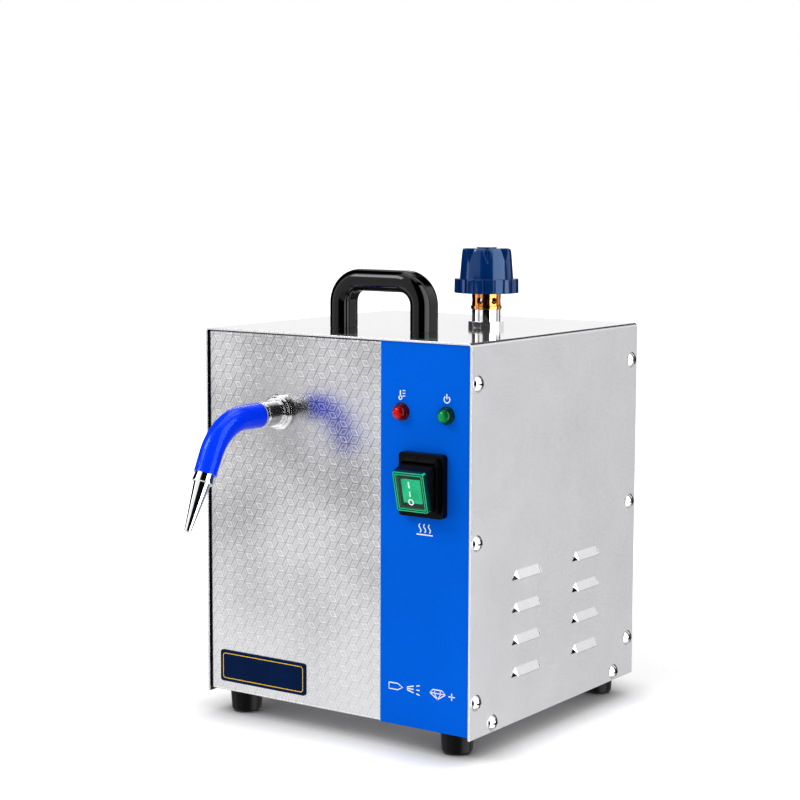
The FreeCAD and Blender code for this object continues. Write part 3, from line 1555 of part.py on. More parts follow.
def solenoid_nut():
    low = valve_top + guide_flange_height + coil_height
    return ring_nut(6, coil_nut_flats, coil_nut_height, guide_radius,
                    point(spout_x, valve_y, low), ALONG_Z)


drain_end_y = case_depth + drain_reach
drain_ball_y = rear_y + drain_hex_length + drain_body_radius
drain_gland_top = drain_z + drain_body_radius + drain_gland_height


def drain_pipe():
    start = boiler_y + boiler_radius + drain_boss_length - pipe_bite
    end = rear_inside_y - drain_shank_inside + pipe_bite
    return rod(drain_pipe_radius, end - start, point(boiler_x, start, drain_z), ALONG_Y).cut(
        rod(drain_pipe_radius - drain_pipe_wall, end - start, point(boiler_x, start, drain_z), ALONG_Y))


def drain_valve():
    """The body of the drain cock: shank through the panel, hexagon, ball chamber and outlet."""
    inner = rear_inside_y - drain_shank_inside
    shank = rod(drain_shank_radius, rear_y - inner, point(boiler_x, inner, drain_z), ALONG_Y)
    hexagon = prism(6, drain_hex_flats, drain_hex_length, point(boiler_x, rear_y, drain_z), ALONG_Y)
    body = rod(drain_body_radius, 2 * drain_body_radius,
               point(boiler_x, rear_y + drain_hex_length, drain_z), ALONG_Y)
    outlet_start = rear_y + drain_hex_length + 2 * drain_body_radius
    outlet = turned([(0, 0), (drain_spout_radius, 0),
                     (drain_spout_radius, drain_end_y - outlet_start), (0, drain_end_y - outlet_start)],
                    point(boiler_x, outlet_start, drain_z), ALONG_Y)
    gland = rod(drain_gland_radius, drain_body_radius + drain_gland_height,
                point(boiler_x, drain_ball_y, drain_z), ALONG_Z)
    bores = [
        rod(drain_pipe_radius, pipe_bite, point(boiler_x, inner, drain_z), ALONG_Y),
        rod(drain_ball_bore, drain_end_y - inner, point(boiler_x, inner, drain_z), ALONG_Y),
        Part.makeSphere(drain_ball_radius + drain_ball_gap, point(boiler_x, drain_ball_y, drain_z)),
        rod(drain_stem_radius + drain_stem_gap, drain_gland_top - drain_z,
            point(boiler_x, drain_ball_y, drain_z), ALONG_Z),
    ]
    return shank.fuse([hexagon, body, outlet, gland]).cut(bores)


def drain_nut():
    return ring_nut(6, drain_nut_flats, drain_nut_height, drain_shank_radius,
                    point(boiler_x, rear_inside_y, drain_z), TO_FRONT)


def drain_ball():
    """The ball with its cross bore, shut at rest, and its stem up through the gland."""
    centre = point(boiler_x, drain_ball_y, drain_z)
    ball = Part.makeSphere(drain_ball_radius, centre)
    bore = rod(drain_ball_bore, 2 * drain_ball_radius,
               point(boiler_x - drain_ball_radius, drain_ball_y, drain_z), ALONG_X)
    top = drain_gland_top + lever_thickness + lever_nut_height + sheet_gap
    stem = rod(drain_stem_radius, top - drain_z - drain_ball_bore - overcut,
               point(boiler_x, drain_ball_y, drain_z + drain_ball_bore + overcut), ALONG_Z)
    return ball.cut(bore).fuse(stem)


def drain_lever():
    """The flat lever, cranked up past the body, with its grip end rounded."""
    low = drain_gland_top + sheet_gap
    hub = rod(lever_width / 2, lever_thickness, point(boiler_x, drain_ball_y, low), ALONG_Z)
    knee = boiler_x + drain_body_radius
    high = low + lever_crank
    end = boiler_x + lever_length - lever_width / 2
    ys = centred(drain_ball_y, lever_width)
    arm = block((boiler_x, knee), ys, (low, low + lever_thickness))
    outline = [(knee, low), (knee + lever_crank, high), (end, high), (end, high + lever_thickness),
               (knee + lever_crank - lever_thickness / 2, high + lever_thickness),
               (knee - lever_thickness / 2, low + lever_thickness)]
    corners = [point(x, ys[0], z) for x, z in outline]
    crank = Part.Face(Part.makePolygon(corners + corners[:1])).extrude(point(0, lever_width, 0))
    tip = rod(lever_width / 2, lever_thickness, point(end, drain_ball_y, high), ALONG_Z)
    bore = rod(drain_stem_radius, lever_thickness, point(boiler_x, drain_ball_y, low), ALONG_Z)
    return joined([hub, arm, crank, tip]).cut(bore)


def lever_nut():
    return ring_nut(6, lever_nut_flats, lever_nut_height, drain_stem_radius,
                    point(boiler_x, drain_ball_y, drain_gland_top + sheet_gap + lever_thickness), ALONG_Z)


socket_z = inlet_z - socket_drop
drawer_z = inlet_z + drawer_lift
inlet_face_y = rear_y + inlet_flange_thickness


def mains_inlet():
    """The inlet's moulding: flange, body, plug well and a slot for the fuse drawer."""
    flange = plate(centred(inlet_x, inlet_flange_width), (rear_y, inlet_face_y),
                   centred(inlet_z, inlet_flange_height), inlet_corner)
    body = block(centred(inlet_x, inlet_body_width), (rear_y - inlet_body_depth, rear_y),
                 centred(inlet_z, inlet_body_height))
    well = block(centred(inlet_x, socket_width), (inlet_face_y - socket_depth, inlet_face_y + overcut),
                 centred(socket_z, socket_height))
    well = rounded_edges(well, inlet_corner, ALONG_Y, lambda middle: middle.z > socket_z)
    slot = block(centred(inlet_x, drawer_width + 2 * drawer_gap),
                 (inlet_face_y - drawer_depth - drawer_gap, inlet_face_y + overcut),
                 centred(drawer_z, drawer_height + 2 * drawer_gap))
    cutters = [well, slot]
    for side in (-1, 1):
        cutters.append(rod(inlet_screw_radius + screw_hole_gap, inlet_flange_thickness,
                           point(inlet_x + side * inlet_screw_spacing / 2, rear_y, inlet_z), ALONG_Y))
    for x, z in inlet_pin_places():
        cutters.append(inlet_pin(x, z))
    return flange.fuse(body).cut(cutters)


def inlet_pin_places():
    return [(inlet_x, socket_z + pin_offset), (inlet_x - pin_spacing, socket_z - pin_offset),
            (inlet_x + pin_spacing, socket_z - pin_offset)]


def inlet_pin(x, z):
    floor = inlet_face_y - socket_depth
    return block(centred(x, pin_thickness), (rear_y - inlet_body_depth - blade_length,
                                             floor + pin_length), centred(z, pin_width))


def inlet_pins():
    return [inlet_pin(x, z) for x, z in inlet_pin_places()]


def inlet_screws():
    return [domed_screw(inlet_screw_head_radius, inlet_screw_head_height, inlet_screw_radius,
                        inlet_screw_length,
                        point(inlet_x + side * inlet_screw_spacing / 2, inlet_face_y, inlet_z), TO_FRONT)
            for side in (-1, 1)]


def fuse_drawer():
    """The drawer, open on top for its fuse, with a finger lip on its face."""
    low = inlet_face_y - drawer_depth
    body = block(centred(inlet_x, drawer_width), (low, inlet_face_y), centred(drawer_z, drawer_height))
    face = block(centred(inlet_x, drawer_width + 4 * drawer_gap),
                 (inlet_face_y + sheet_gap, inlet_face_y + drawer_face + sheet_gap),
                 centred(drawer_z, drawer_height + 4 * drawer_gap))
    bridge = block(centred(inlet_x, drawer_width), (inlet_face_y, inlet_face_y + sheet_gap),
                   centred(drawer_z, drawer_height))
    room = block(centred(inlet_x, drawer_width - 2 * drawer_wall),
                 (low + drawer_wall, inlet_face_y - drawer_wall),
                 (drawer_z - drawer_height / 2 + drawer_wall, drawer_z + drawer_height / 2 + overcut))
    return body.fuse([bridge, face]).removeSplitter().cut(room)


def fuse():
    """The cartridge fuse that lies in the drawer."""
    length = drawer_width - 2 * drawer_wall - 2 * fuse_clearance
    y = inlet_face_y - drawer_depth / 2
    z = drawer_z - drawer_height / 2 + drawer_wall + fuse_radius
    return rod(fuse_radius, length, point(inlet_x - length / 2, y, z), ALONG_X)


def pedal_socket():
    """The round socket for the foot switch, with its nut inside the panel."""
    sleeve = turned([(0, -pedal_depth), (pedal_body_radius, -pedal_depth), (pedal_body_radius, 0),
                     (pedal_radius, 0), (pedal_radius, pedal_flange),
                     (pedal_body_radius, pedal_flange), (pedal_body_radius, pedal_reach),
                     (0, pedal_reach)], point(pedal_x, rear_y, pedal_z), ALONG_Y)
    well = rod(pedal_well_radius, pedal_well_depth,
               point(pedal_x, rear_y + pedal_reach - pedal_well_depth, pedal_z), ALONG_Y)
    pins = []
    for n in range(pedal_pins):
        angle = 2 * math.pi * n / pedal_pins
        pins.append(rod(pedal_pin_radius, pedal_pin_length,
                        point(pedal_x + pedal_pin_circle * math.cos(angle),
                              rear_y + pedal_reach - pedal_well_depth,
                              pedal_z + pedal_pin_circle * math.sin(angle)), ALONG_Y))
    return sleeve.cut(well).fuse(pins)


def pedal_nut():
    return ring_nut(6, pedal_nut_flats, pedal_nut_height, pedal_body_radius,
                    point(pedal_x, rear_inside_y, pedal_z), TO_FRONT)


def terminal_block():
    """A barrier strip on the floor of the case, with its clamp screws."""
    low = pan_top
    xs = centred(block_x, block_width)
    pieces = [block(xs, centred(block_y, block_length), (low, low + block_base_height))]
    step = (block_length - block_wall) / block_poles
    for n in range(block_poles + 1):
        y = block_y - block_length / 2 + n * step
        pieces.append(block(xs, (y, y + block_wall), (low, low + block_wall_height)))
    for n in range(block_poles):
        y = block_y - block_length / 2 + block_wall + n * step + (step - block_wall) / 2
        for side in (-1, 1):
            pieces.append(rod(block_screw_radius, block_screw_height,
                              point(block_x + side * block_width / 4, y, low + block_base_height), ALONG_Z))
    return joined(pieces)


def save(name, shapes):
    """Write one node, moved from the frame of the case to the table."""
    solids = []
    for shape in shapes if isinstance(shapes, list) else [shapes]:
        solids += shape.Solids
    group = Part.makeCompound([solid.copy() for solid in solids]) if len(solids) > 1 else solids[0].copy()
    group.translate(point(0, front_y, foot_height))
    group.exportStep("parts/" + name + ".step")


os.makedirs("parts", exist_ok=True)

save("cover_shell", cover_shell())
save("front_panel", front_panel())
save("rear_panel", rear_panel())
save("base_pan", base_pan())
save("control_stripe", control_stripe())
save("badge_plate", badge_plate())
save("cover_screws", cover_screws())
save("rubber_feet", rubber_feet())
save("foot_screws", foot_screws() + foot_nuts())
save("handle", handle())
save("handle_spacers", handle_spacers())
save("handle_screws", handle_screws())
save("switch_bezel", switch_bezel())
save("switch_housing", switch_housing())
save("rocker", rocker())
save("rocker_cap", rocker_cap())
save("rocker_window", rocker_window())
save("red_lamp_lens", lamp_lens(lamp_red_x))
save("green_lamp_lens", lamp_lens(lamp_green_x))
save("lamp_bodies", lamp_bodies())
save("spout_flange", spout_flange())
save("spout_union", spout_union())
save("panel_nuts", lamp_nuts() + [spout_locknut(), drain_nut(), pedal_nut()])
save("spout_pipe", spout_pipe())
save("spout_sleeve", spout_sleeve())
save("nozzle_collar", nozzle_collar())
save("nozzle_tip", nozzle_tip())
save("boiler_tank", boiler_tank())
save("boiler_stand", boiler_stand())
save("stand_bolts", stand_bolts())
save("filler_neck", filler_neck())
save("neck_nut", neck_nut())
save("cap_seal", cap_seal())
save("cap_stem", cap_stem())
save("cap_knob", cap_knob())
save("cap_disc", cap_disc())
save("relief_ball", relief_ball())
save("relief_spring", relief_spring())
save("relief_plug", relief_plug())
save("heater_plug", heater_plug())
save("heating_element", heating_element())
save("thermal_cutout", thermal_cutout())
save("pressure_switch", pressure_switch())
save("steam_pipes", steam_pipes())
save("pipe_nuts", pipe_nuts())
save("solenoid_body", solenoid_body())
save("solenoid_tube", solenoid_tube())
save("solenoid_plunger", solenoid_plunger())
save("solenoid_spring", solenoid_spring())
save("solenoid_coil", [solenoid_coil(), solenoid_nut()])
save("drain_pipe", drain_pipe())
save("drain_valve", drain_valve())
save("drain_ball", drain_ball())
save("drain_lever", [drain_lever(), lever_nut()])
save("mains_inlet", mains_inlet())
save("inlet_pins", inlet_pins())
save("inlet_screws", inlet_screws())
save("fuse_drawer", [fuse_drawer(), fuse()])
save("pedal_socket", pedal_socket())
save("terminal_block", terminal_block())
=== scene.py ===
import math

import bpy
from mathutils import Matrix, Vector


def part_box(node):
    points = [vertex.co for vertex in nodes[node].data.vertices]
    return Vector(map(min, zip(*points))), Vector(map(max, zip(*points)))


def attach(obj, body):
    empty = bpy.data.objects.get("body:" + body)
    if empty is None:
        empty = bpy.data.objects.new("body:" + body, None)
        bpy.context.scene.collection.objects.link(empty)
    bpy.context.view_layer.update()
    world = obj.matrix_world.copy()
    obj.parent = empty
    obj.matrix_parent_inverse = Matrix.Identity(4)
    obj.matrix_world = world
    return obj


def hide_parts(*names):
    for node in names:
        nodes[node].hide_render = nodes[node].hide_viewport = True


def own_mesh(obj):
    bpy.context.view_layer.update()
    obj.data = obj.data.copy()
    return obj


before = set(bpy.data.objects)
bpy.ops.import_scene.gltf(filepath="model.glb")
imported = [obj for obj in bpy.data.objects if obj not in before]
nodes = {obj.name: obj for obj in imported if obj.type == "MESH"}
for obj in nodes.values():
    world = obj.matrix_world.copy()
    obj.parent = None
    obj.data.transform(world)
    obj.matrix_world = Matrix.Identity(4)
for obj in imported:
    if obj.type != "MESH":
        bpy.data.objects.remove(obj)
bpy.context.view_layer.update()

# Places are written in millimetres from the case: x from its middle, y from its front edge, z from
# its lower edge.
MM = 0.001
cover_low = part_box("cover_shell")[0]


def at(x, y, z):
    """A place on the case, in metres in the frame."""
    return Vector((x * MM, cover_low.y + y * MM, cover_low.z + z * MM))


def case_box(name):
    """The lower and upper corner of a node's box, in millimetres on the case."""
    start = Vector((0, cover_low.y, cover_low.z))
    return [(corner - start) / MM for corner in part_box(name)]


# Shader helpers

def srgb(red, green, blue):
    """A colour as a picture shows it, from 0 to 255, as linear values."""
    values = []
    for value in (red, green, blue):
        value /= 255.0
        values.append(value / 12.92 if value <= 0.04045 else ((value + 0.055) / 1.055) ** 2.4)
    return (*values, 1.0)


class Graph:
    """A node tree, with short calls for the nodes that the finishes and the studio use."""

    def __init__(self, name, tree=None):
        if tree is None:
            self.material = bpy.data.materials.new(name)
            self.material.use_nodes = True
            tree = self.material.node_tree
            self.shader = tree.nodes["Principled BSDF"]
        self.tree = tree
        self.coordinates = None

    def node(self, kind, **settings):
        made = self.tree.nodes.new(kind)
        for key, value in settings.items():
            setattr(made, key, value)
        return made

    def put(self, socket, value):
        if isinstance(value, bpy.types.NodeSocket):
            self.tree.links.new(value, socket)
        else:
            socket.default_value = value

    def math(self, operation, first, second=0.0, third=0.0, clamp=False):
        made = self.node("ShaderNodeMath", operation=operation, use_clamp=clamp)
        for socket, value in zip(made.inputs, (first, second, third)):
            self.put(socket, value)
        return made.outputs[0]

    def place(self, scale=(1000.0, 1000.0, 1000.0)):
        """The place on the object, in millimetres unless another scale is given."""
        if self.coordinates is None:
            self.coordinates = self.node("ShaderNodeTexCoord")
        mapping = self.node("ShaderNodeMapping")
        self.put(mapping.inputs["Vector"], self.coordinates.outputs["Object"])
        mapping.inputs["Scale"].default_value = scale
        return mapping.outputs[0]

    def split(self, vector):
        made = self.node("ShaderNodeSeparateXYZ")
        self.put(made.inputs[0], vector)
        return made.outputs

    def noise(self, scale, detail=2.0, vector=None, roughness=0.5):
        made = self.node("ShaderNodeTexNoise")
        self.put(made.inputs["Vector"], vector if vector is not None else self.place())
        made.inputs["Scale"].default_value = scale
        made.inputs["Detail"].default_value = detail
        made.inputs["Roughness"].default_value = roughness
        return made.outputs["Fac"]

    def span(self, value, low, high, to_low=0.0, to_high=1.0, smooth=False):
        """Carry a value from one span to another, clamped to it."""
        made = self.node("ShaderNodeMapRange", clamp=True)
        made.interpolation_type = "SMOOTHSTEP" if smooth else "LINEAR"
        for socket, number in zip(made.inputs, (value, low, high, to_low, to_high)):
            self.put(socket, number)
        return made.outputs[0]

    def mix(self, share, first, second):
        made = self.node("ShaderNodeMix", data_type="RGBA")
        for index, value in ((0, share), (6, first), (7, second)):
            self.put(made.inputs[index], value)
        return made.outputs[2]

    def bump(self, height, distance, strength=1.0, normal=None):
        """A bump whose height of 1 stands for a distance in millimetres."""
        made = self.node("ShaderNodeBump")
        made.inputs["Strength"].default_value = strength
        made.inputs["Distance"].default_value = distance * MM
        self.put(made.inputs["Height"], height)
        if normal is not None:
            self.put(made.inputs["Normal"], normal)
        return made.outputs[0]

    def rounded(self, radius):
        """Edges that catch the light as if rounded by a radius in millimetres."""
        made = self.node("ShaderNodeBevel", samples=4)
        made.inputs["Radius"].default_value = radius * MM
        return made.outputs[0]

    def finish(self, colour, rough, normal, metal=0.0):
        for name, value in (("Base Color", colour), ("Roughness", rough), ("Normal", normal),
                            ("Metallic", metal)):
            self.put(self.shader.inputs[name], value)
        return self.material


def shade(colour, factor):
    return (*[min(1.0, channel * factor) for channel in colour[:3]], 1.0)


def sheet_steel(name, colour, roughness, grain_scale, grain_depth, polished_from=None):
    """Rolled stainless sheet with a grain along one way and faint clouds, polished above a height."""
    graph = Graph(name)
    grain = graph.noise(1.0, 3.0, graph.place(grain_scale), 0.6)
    clouds = graph.noise(0.02, 3.0)
    speckle = graph.noise(1.1, 2.0, None, 0.7)
    tone = graph.math("ADD", graph.math("MULTIPLY", grain, 0.2),
                      graph.math("ADD", graph.math("MULTIPLY", clouds, 0.25),
                                 graph.math("MULTIPLY", speckle, 0.55)))
    tinted_grain = graph.mix(graph.span(tone, 0.35, 0.65), shade(colour, 0.87), shade(colour, 1.07))
    rough = graph.span(tone, 0.3, 0.7, roughness * 0.85, roughness * 1.2)
    metal = 1.0
    if polished_from is not None:
        height = graph.split(graph.place())["Z"]
        polished = graph.span(height, polished_from, polished_from + 0.1)
        rough = graph.math("MULTIPLY", rough, graph.span(polished, 0.0, 1.0, 1.0, 0.45))
        metal = graph.span(polished, 0.0, 1.0, 1.0, 0.86)
    normal = graph.bump(grain, grain_depth, 0.5, graph.rounded(0.5))
    return graph.finish(tinted_grain, rough, normal, metal)


def turned_metal(name, colour, roughness, round_edge=0.3, clouds_scale=0.15, spread=0.1, recess=0.0):
    """Turned or plated metal with faint marks, and painted shade that darkens its recesses where a
    recess size is given.
    """
    graph = Graph(name)
    clouds = graph.noise(clouds_scale, 4.0)
    rings = graph.noise(3.0, 2.0)
    clouded = graph.mix(graph.span(clouds, 0.35, 0.65), shade(colour, 1 - spread),
                        shade(colour, 1 + spread * 0.5))
    rough = graph.span(clouds, 0.35, 0.65, roughness * 0.7, roughness * 1.4)
    normal = graph.bump(rings, 0.001, 0.4, graph.rounded(round_edge))
    if recess:
        # Painted shade: ambient occlusion darkens the colour to near black in recesses within the
        # recess size.
        painted_recess_shade = graph.node("ShaderNodeAmbientOcclusion", samples=8)
        painted_recess_shade.inputs["Distance"].default_value = recess * MM
        clouded = graph.mix(graph.span(painted_recess_shade.outputs["AO"], 0.55, 0.94, smooth=True),
                            srgb(12, 12, 13), clouded)
    return graph.finish(clouded, rough, normal, 1.0)


def moulded(name, colour, roughness, texture=0.02, round_edge=0.4, gloss=0.25, spread=0.12,
            texture_scale=2.5, sheen=(1.0, 1.0, 1.0, 1.0)):
    """Moulded plastic or rubber with a fine texture and slight colour changes."""
    graph = Graph(name)
    fine = graph.noise(texture_scale, 4.0)
    clouds = graph.noise(0.06, 3.0)
    clouded = graph.mix(graph.span(clouds, 0.3, 0.7), shade(colour, 1 - spread),
                        shade(colour, 1 + spread))
    rough = graph.span(fine, 0.3, 0.7, roughness * 0.85, roughness * 1.15)
    normal = graph.bump(fine, texture, 0.5, graph.rounded(round_edge))
    graph.shader.inputs["Specular IOR Level"].default_value = gloss
    graph.shader.inputs["Specular Tint"].default_value = sheen
    return graph.finish(clouded, rough, normal)


def sleeve_rubber(name, colour, sheen):
    """The blue sleeve, with a pale ring near its end at the collar and a near-black band at that very
    end.
    """
    graph = Graph(name)
    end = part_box("spout_sleeve")[1].y / MM
    ring_start, ring_end = end - 0.9, end - 0.25
    place = graph.split(graph.place())
    fine = graph.noise(0.5, 3.0)
    body = graph.mix(graph.span(fine, 0.3, 0.7), shade(colour, 0.96), shade(colour, 1.04))
    ring = graph.math("MULTIPLY", graph.math("GREATER_THAN", place["Y"], ring_start),
                      graph.math("LESS_THAN", place["Y"], ring_end))
    body = graph.mix(ring, body, srgb(226, 206, 160))
    body = graph.mix(graph.math("GREATER_THAN", place["Y"], ring_end), body, srgb(8, 8, 10))
    normal = graph.bump(fine, 0.001, 0.5, graph.rounded(0.4))
    graph.shader.inputs["Specular IOR Level"].default_value = 0.32
    graph.shader.inputs["Specular Tint"].default_value = sheen
    return graph.finish(body, graph.span(fine, 0.3, 0.7, 0.12, 0.16), normal)


def lit_window(name):
    """The lit window in the switch, under its clear cap."""
    graph = Graph(name)
    fine = graph.noise(0.12, 1.0)
    flow = graph.mix(graph.span(fine, 0.35, 0.65), srgb(0, 186, 128), srgb(20, 214, 156))
    graph.put(graph.shader.inputs["Emission Color"], flow)
    graph.shader.inputs["Emission Strength"].default_value = 3.8
    normal = graph.bump(fine, 0.02, 0.4, graph.rounded(0.5))
    return graph.finish(srgb(0, 40, 28), graph.span(fine, 0.3, 0.7, 0.25, 0.35), normal)


def lamp_lens(name, piece, core, rim, sheen):
    """A deep coloured lens with moulded rings, with painted shade that darkens it towards its rim, and
    a painted glow in its lower part.
    """
    graph = Graph(name)
    low, high = [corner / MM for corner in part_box(piece)]
    place = graph.split(graph.place())
    aside = graph.math("SUBTRACT", place["X"], (low.x + high.x) / 2)
    above = graph.math("SUBTRACT", place["Z"], (low.z + high.z) / 2)
    reach = graph.math("SQRT", graph.math("ADD", graph.math("MULTIPLY", aside, aside),
                                          graph.math("MULTIPLY", above, above)))
    fine = graph.noise(0.4, 3.0)
    rings = graph.math("SINE", graph.math("MULTIPLY", reach, 4.2))
    # Painted shade: the colour darkens from the core out to the rim.
    colour = graph.mix(graph.span(reach, 1.5, 5.8, smooth=True), core, rim)
    ring_share = graph.math("MULTIPLY", graph.span(rings, 0.5, 1.0), 0.4)
    colour = graph.mix(ring_share, colour, shade(rim, 0.4))
    # Painted light: a glow in the lower part of the lens, inside its rim, added to its faint even glow.
    painted_glow_below = graph.math("MULTIPLY", graph.span(above, -4.5, -1.5, 1.0, 0.0, smooth=True),
                       graph.span(reach, 4.8, 5.6, 1.0, 0.0, smooth=True))
    graph.put(graph.shader.inputs["Emission Color"], colour)
    graph.put(graph.shader.inputs["Emission Strength"],
              graph.math("ADD", 0.15, graph.math("MULTIPLY", painted_glow_below, 1.3)))
    graph.shader.inputs["Specular IOR Level"].default_value = 0.35
    graph.shader.inputs["Specular Tint"].default_value = sheen
    normal = graph.bump(graph.math("ADD", fine, rings), 0.03, 0.5, graph.rounded(0.3))
    return graph.finish(colour, graph.span(fine, 0.3, 0.7, 0.03, 0.06), normal)


def switch_cap(name, centre, half_width, half_height, rim, tilt):
    """The rocker's clear green cap: a clear field inside a moulded rim, with painted highlights that
    glow along the rim's edges.
    """
    graph = Graph(name)
    place = graph.split(graph.place())
    aside = graph.math("ABSOLUTE", graph.math("SUBTRACT", place["X"], centre[0]))
    forward = graph.math("SUBTRACT", place["Y"], centre[1])
    above = graph.math("SUBTRACT", place["Z"], centre[2])
    along = graph.math("SUBTRACT", graph.math("MULTIPLY", above, math.cos(tilt)),
                       graph.math("MULTIPLY", forward, math.sin(tilt)))
    outside = graph.math("MAXIMUM", graph.math("SUBTRACT", aside, half_width - rim),
                         graph.math("SUBTRACT", graph.math("ABSOLUTE", along), half_height - rim))
    # Painted highlights: pale green bands along the inner and outer edges of the rim.
    painted_inner_highlight = graph.span(graph.math("ABSOLUTE", graph.math("SUBTRACT", outside, 0.1)),
                            0.15, 0.5, 1.0, 0.0, smooth=True)
    painted_outer_highlight = graph.span(graph.math("ABSOLUTE", graph.math("SUBTRACT", outside, rim - 0.6)),
                            0.15, 0.4, 1.0, 0.0, smooth=True)
    on_rim = graph.span(outside, -0.1, 0.2, smooth=True)
    painted_edge_highlights = graph.math("MAXIMUM", painted_inner_highlight, painted_outer_highlight)
    fine = graph.noise(0.5, 3.0)
    field = graph.mix(graph.span(fine, 0.3, 0.7), srgb(66, 128, 120), srgb(74, 138, 128))
    colour = graph.mix(on_rim, field, srgb(0, 54, 40))
    colour = graph.mix(painted_edge_highlights, colour, srgb(20, 205, 150))
    normal = graph.bump(fine, 0.003, 0.4, graph.rounded(0.6))
    graph.put(graph.shader.inputs["Transmission Weight"], graph.span(on_rim, 0.0, 1.0, 0.96, 0.25))
    graph.shader.inputs["IOR"].default_value = 1.3
    graph.shader.inputs["Emission Color"].default_value = srgb(0, 200, 130)
    # The painted highlights also glow.
    graph.put(graph.shader.inputs["Emission Strength"], graph.math("MULTIPLY", painted_edge_highlights, 0.35))
    return graph.finish(colour, graph.span(fine, 0.3, 0.7, 0.02, 0.05), normal)


def cube_pattern_steel(name):
    """Stainless sheet rolled with hexagons, each of three rhombi that look like a cube. Painted light
    is in its colour: painted shade in the channels between the rhombi and along the rising edges, a
    painted highlight inside each outline, a painted paler lower part, and painted shade along the left
    and top bends.
    """
    pitch = 11.8
    column = pitch * math.sqrt(3) / 2
    graph = Graph(name)
    place = graph.split(graph.place())
    across = graph.math("ADD", place["X"], 3.0)
    up = graph.math("ADD", place["Z"], 2.0)

    def folded(value, shift, size):
        moved = graph.math("SUBTRACT", value, shift)
        return graph.math("SUBTRACT", graph.math("FLOORED_MODULO", graph.math("ADD", moved, size / 2),
                                                 size), size / 2)

    def length(x, y):
        return graph.math("ADD", graph.math("MULTIPLY", x, x), graph.math("MULTIPLY", y, y))

    first = folded(across, 0.0, 2 * column), folded(up, 0.0, pitch)
    second = folded(across, column, 2 * column), folded(up, pitch / 2, pitch)
    nearer = graph.math("LESS_THAN", length(*second), length(*first))
    x, y = [graph.math("ADD", graph.math("MULTIPLY", nearer, b),
                       graph.math("MULTIPLY", graph.math("SUBTRACT", 1.0, nearer), a))
            for a, b in zip(first, second)]

    def along(turn):
        return graph.math("ADD", graph.math("MULTIPLY", x, math.cos(math.radians(turn))),
                          graph.math("MULTIPLY", y, math.sin(math.radians(turn))))

    def spoke(turn):
        aside = graph.math("ABSOLUTE", along(turn + 90))
        return graph.math("MAXIMUM", aside, graph.math("MULTIPLY", along(turn), -1.0))

    def rim(turn):
        return graph.math("SUBTRACT", pitch / 2, graph.math("ABSOLUTE", along(turn)))

    rising = graph.math("MINIMUM", spoke(240), rim(330))
    falling = graph.math("MINIMUM", spoke(120), rim(30))
    level = graph.math("MINIMUM", spoke(0), rim(90))
    nearest = graph.math("MINIMUM", graph.math("MINIMUM", rising, falling), level)
    top = graph.math("MULTIPLY", graph.math("GREATER_THAN", y, 0.0),
                     graph.math("GREATER_THAN", along(30), 0.0))

    worn = graph.noise(0.013, 1.5)
    spout_near, spout_far = 300.0, 1600.0
    low, high = [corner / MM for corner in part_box("front_panel")]
    spout_low, spout_high = [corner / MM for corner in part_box("spout_flange")]
    from_spout = length(graph.math("SUBTRACT", place["X"], (spout_low.x + spout_high.x) / 2),
                        graph.math("SUBTRACT", place["Z"], (spout_low.z + spout_high.z) / 2))
    painted_low_light_fade = graph.span(place["Z"], low.z, low.z + 0.55 * (high.z - low.z), 0.22, 1.0)
    fade = graph.math("MULTIPLY", painted_low_light_fade, graph.span(from_spout, spout_near, spout_far, 0.3, 1.0))
    wander = graph.noise(0.3, 2.0)
    painted_groove_shade = graph.math("SUBTRACT", 1.0, graph.span(nearest, 0.0, 0.6, smooth=True))
    painted_rising_shade = graph.math("SUBTRACT", 1.0, graph.span(rising, 0.0, 0.55, smooth=True))
    outline = graph.math("MULTIPLY", graph.span(nearest, 0.35, 0.9, smooth=True),
                         graph.math("SUBTRACT", 1.0, graph.span(nearest, 1.0, 1.9, smooth=True)))
    # Painted highlight: a pale band just inside each outline, stronger on the upper rhombus of each
    # cube.
    painted_highlight = graph.math("MULTIPLY", outline, graph.math("ADD", 0.4, graph.math("MULTIPLY", top, 0.6)))
    painted_highlight = graph.math("MULTIPLY", painted_highlight, graph.span(wander, 0.3, 0.65, 0.25, 1.0))

    sheet = graph.mix(graph.span(worn, 0.35, 0.65), srgb(164, 164, 167), srgb(197, 197, 199))
    # Painted light: the lower part of the sheet is painted paler, fading out by a little over half its
    # height.
    sheet = graph.mix(painted_low_light_fade, srgb(220, 220, 223), sheet)
    # Painted shade in the channels between the rhombi.
    lined = graph.mix(graph.math("MULTIPLY", graph.math("MULTIPLY", painted_groove_shade, 0.25), fade),
                      sheet, srgb(110, 110, 114))
    # Painted shade along the rising edges of each cube, stronger or weaker at random.
    painted_rising_shade_share = graph.math("MULTIPLY", painted_rising_shade, graph.span(wander, 0.35, 0.6, 0.6, 0.3))
    lined = graph.mix(graph.math("MULTIPLY", painted_rising_shade_share, fade), lined, srgb(76, 76, 80))
    painted_highlight = graph.math("MULTIPLY", painted_highlight, graph.span(from_spout, spout_near, spout_far, 0.25, 0.6))
    painted_highlight = graph.math("MULTIPLY", painted_highlight, graph.span(painted_low_light_fade, 0.22, 0.6, 0.55, 1.0))
    # Mix in the painted highlight.
    lined = graph.mix(painted_highlight, lined, srgb(248, 248, 248))
    # Painted shade: near black along the left bend, where the sheet meets the side plate.
    painted_left_bend_shade = graph.span(place["X"], low.x + 1.3, low.x + 2.1, 1.0, 0.0)
    lined = graph.mix(painted_left_bend_shade, lined, srgb(20, 20, 21))
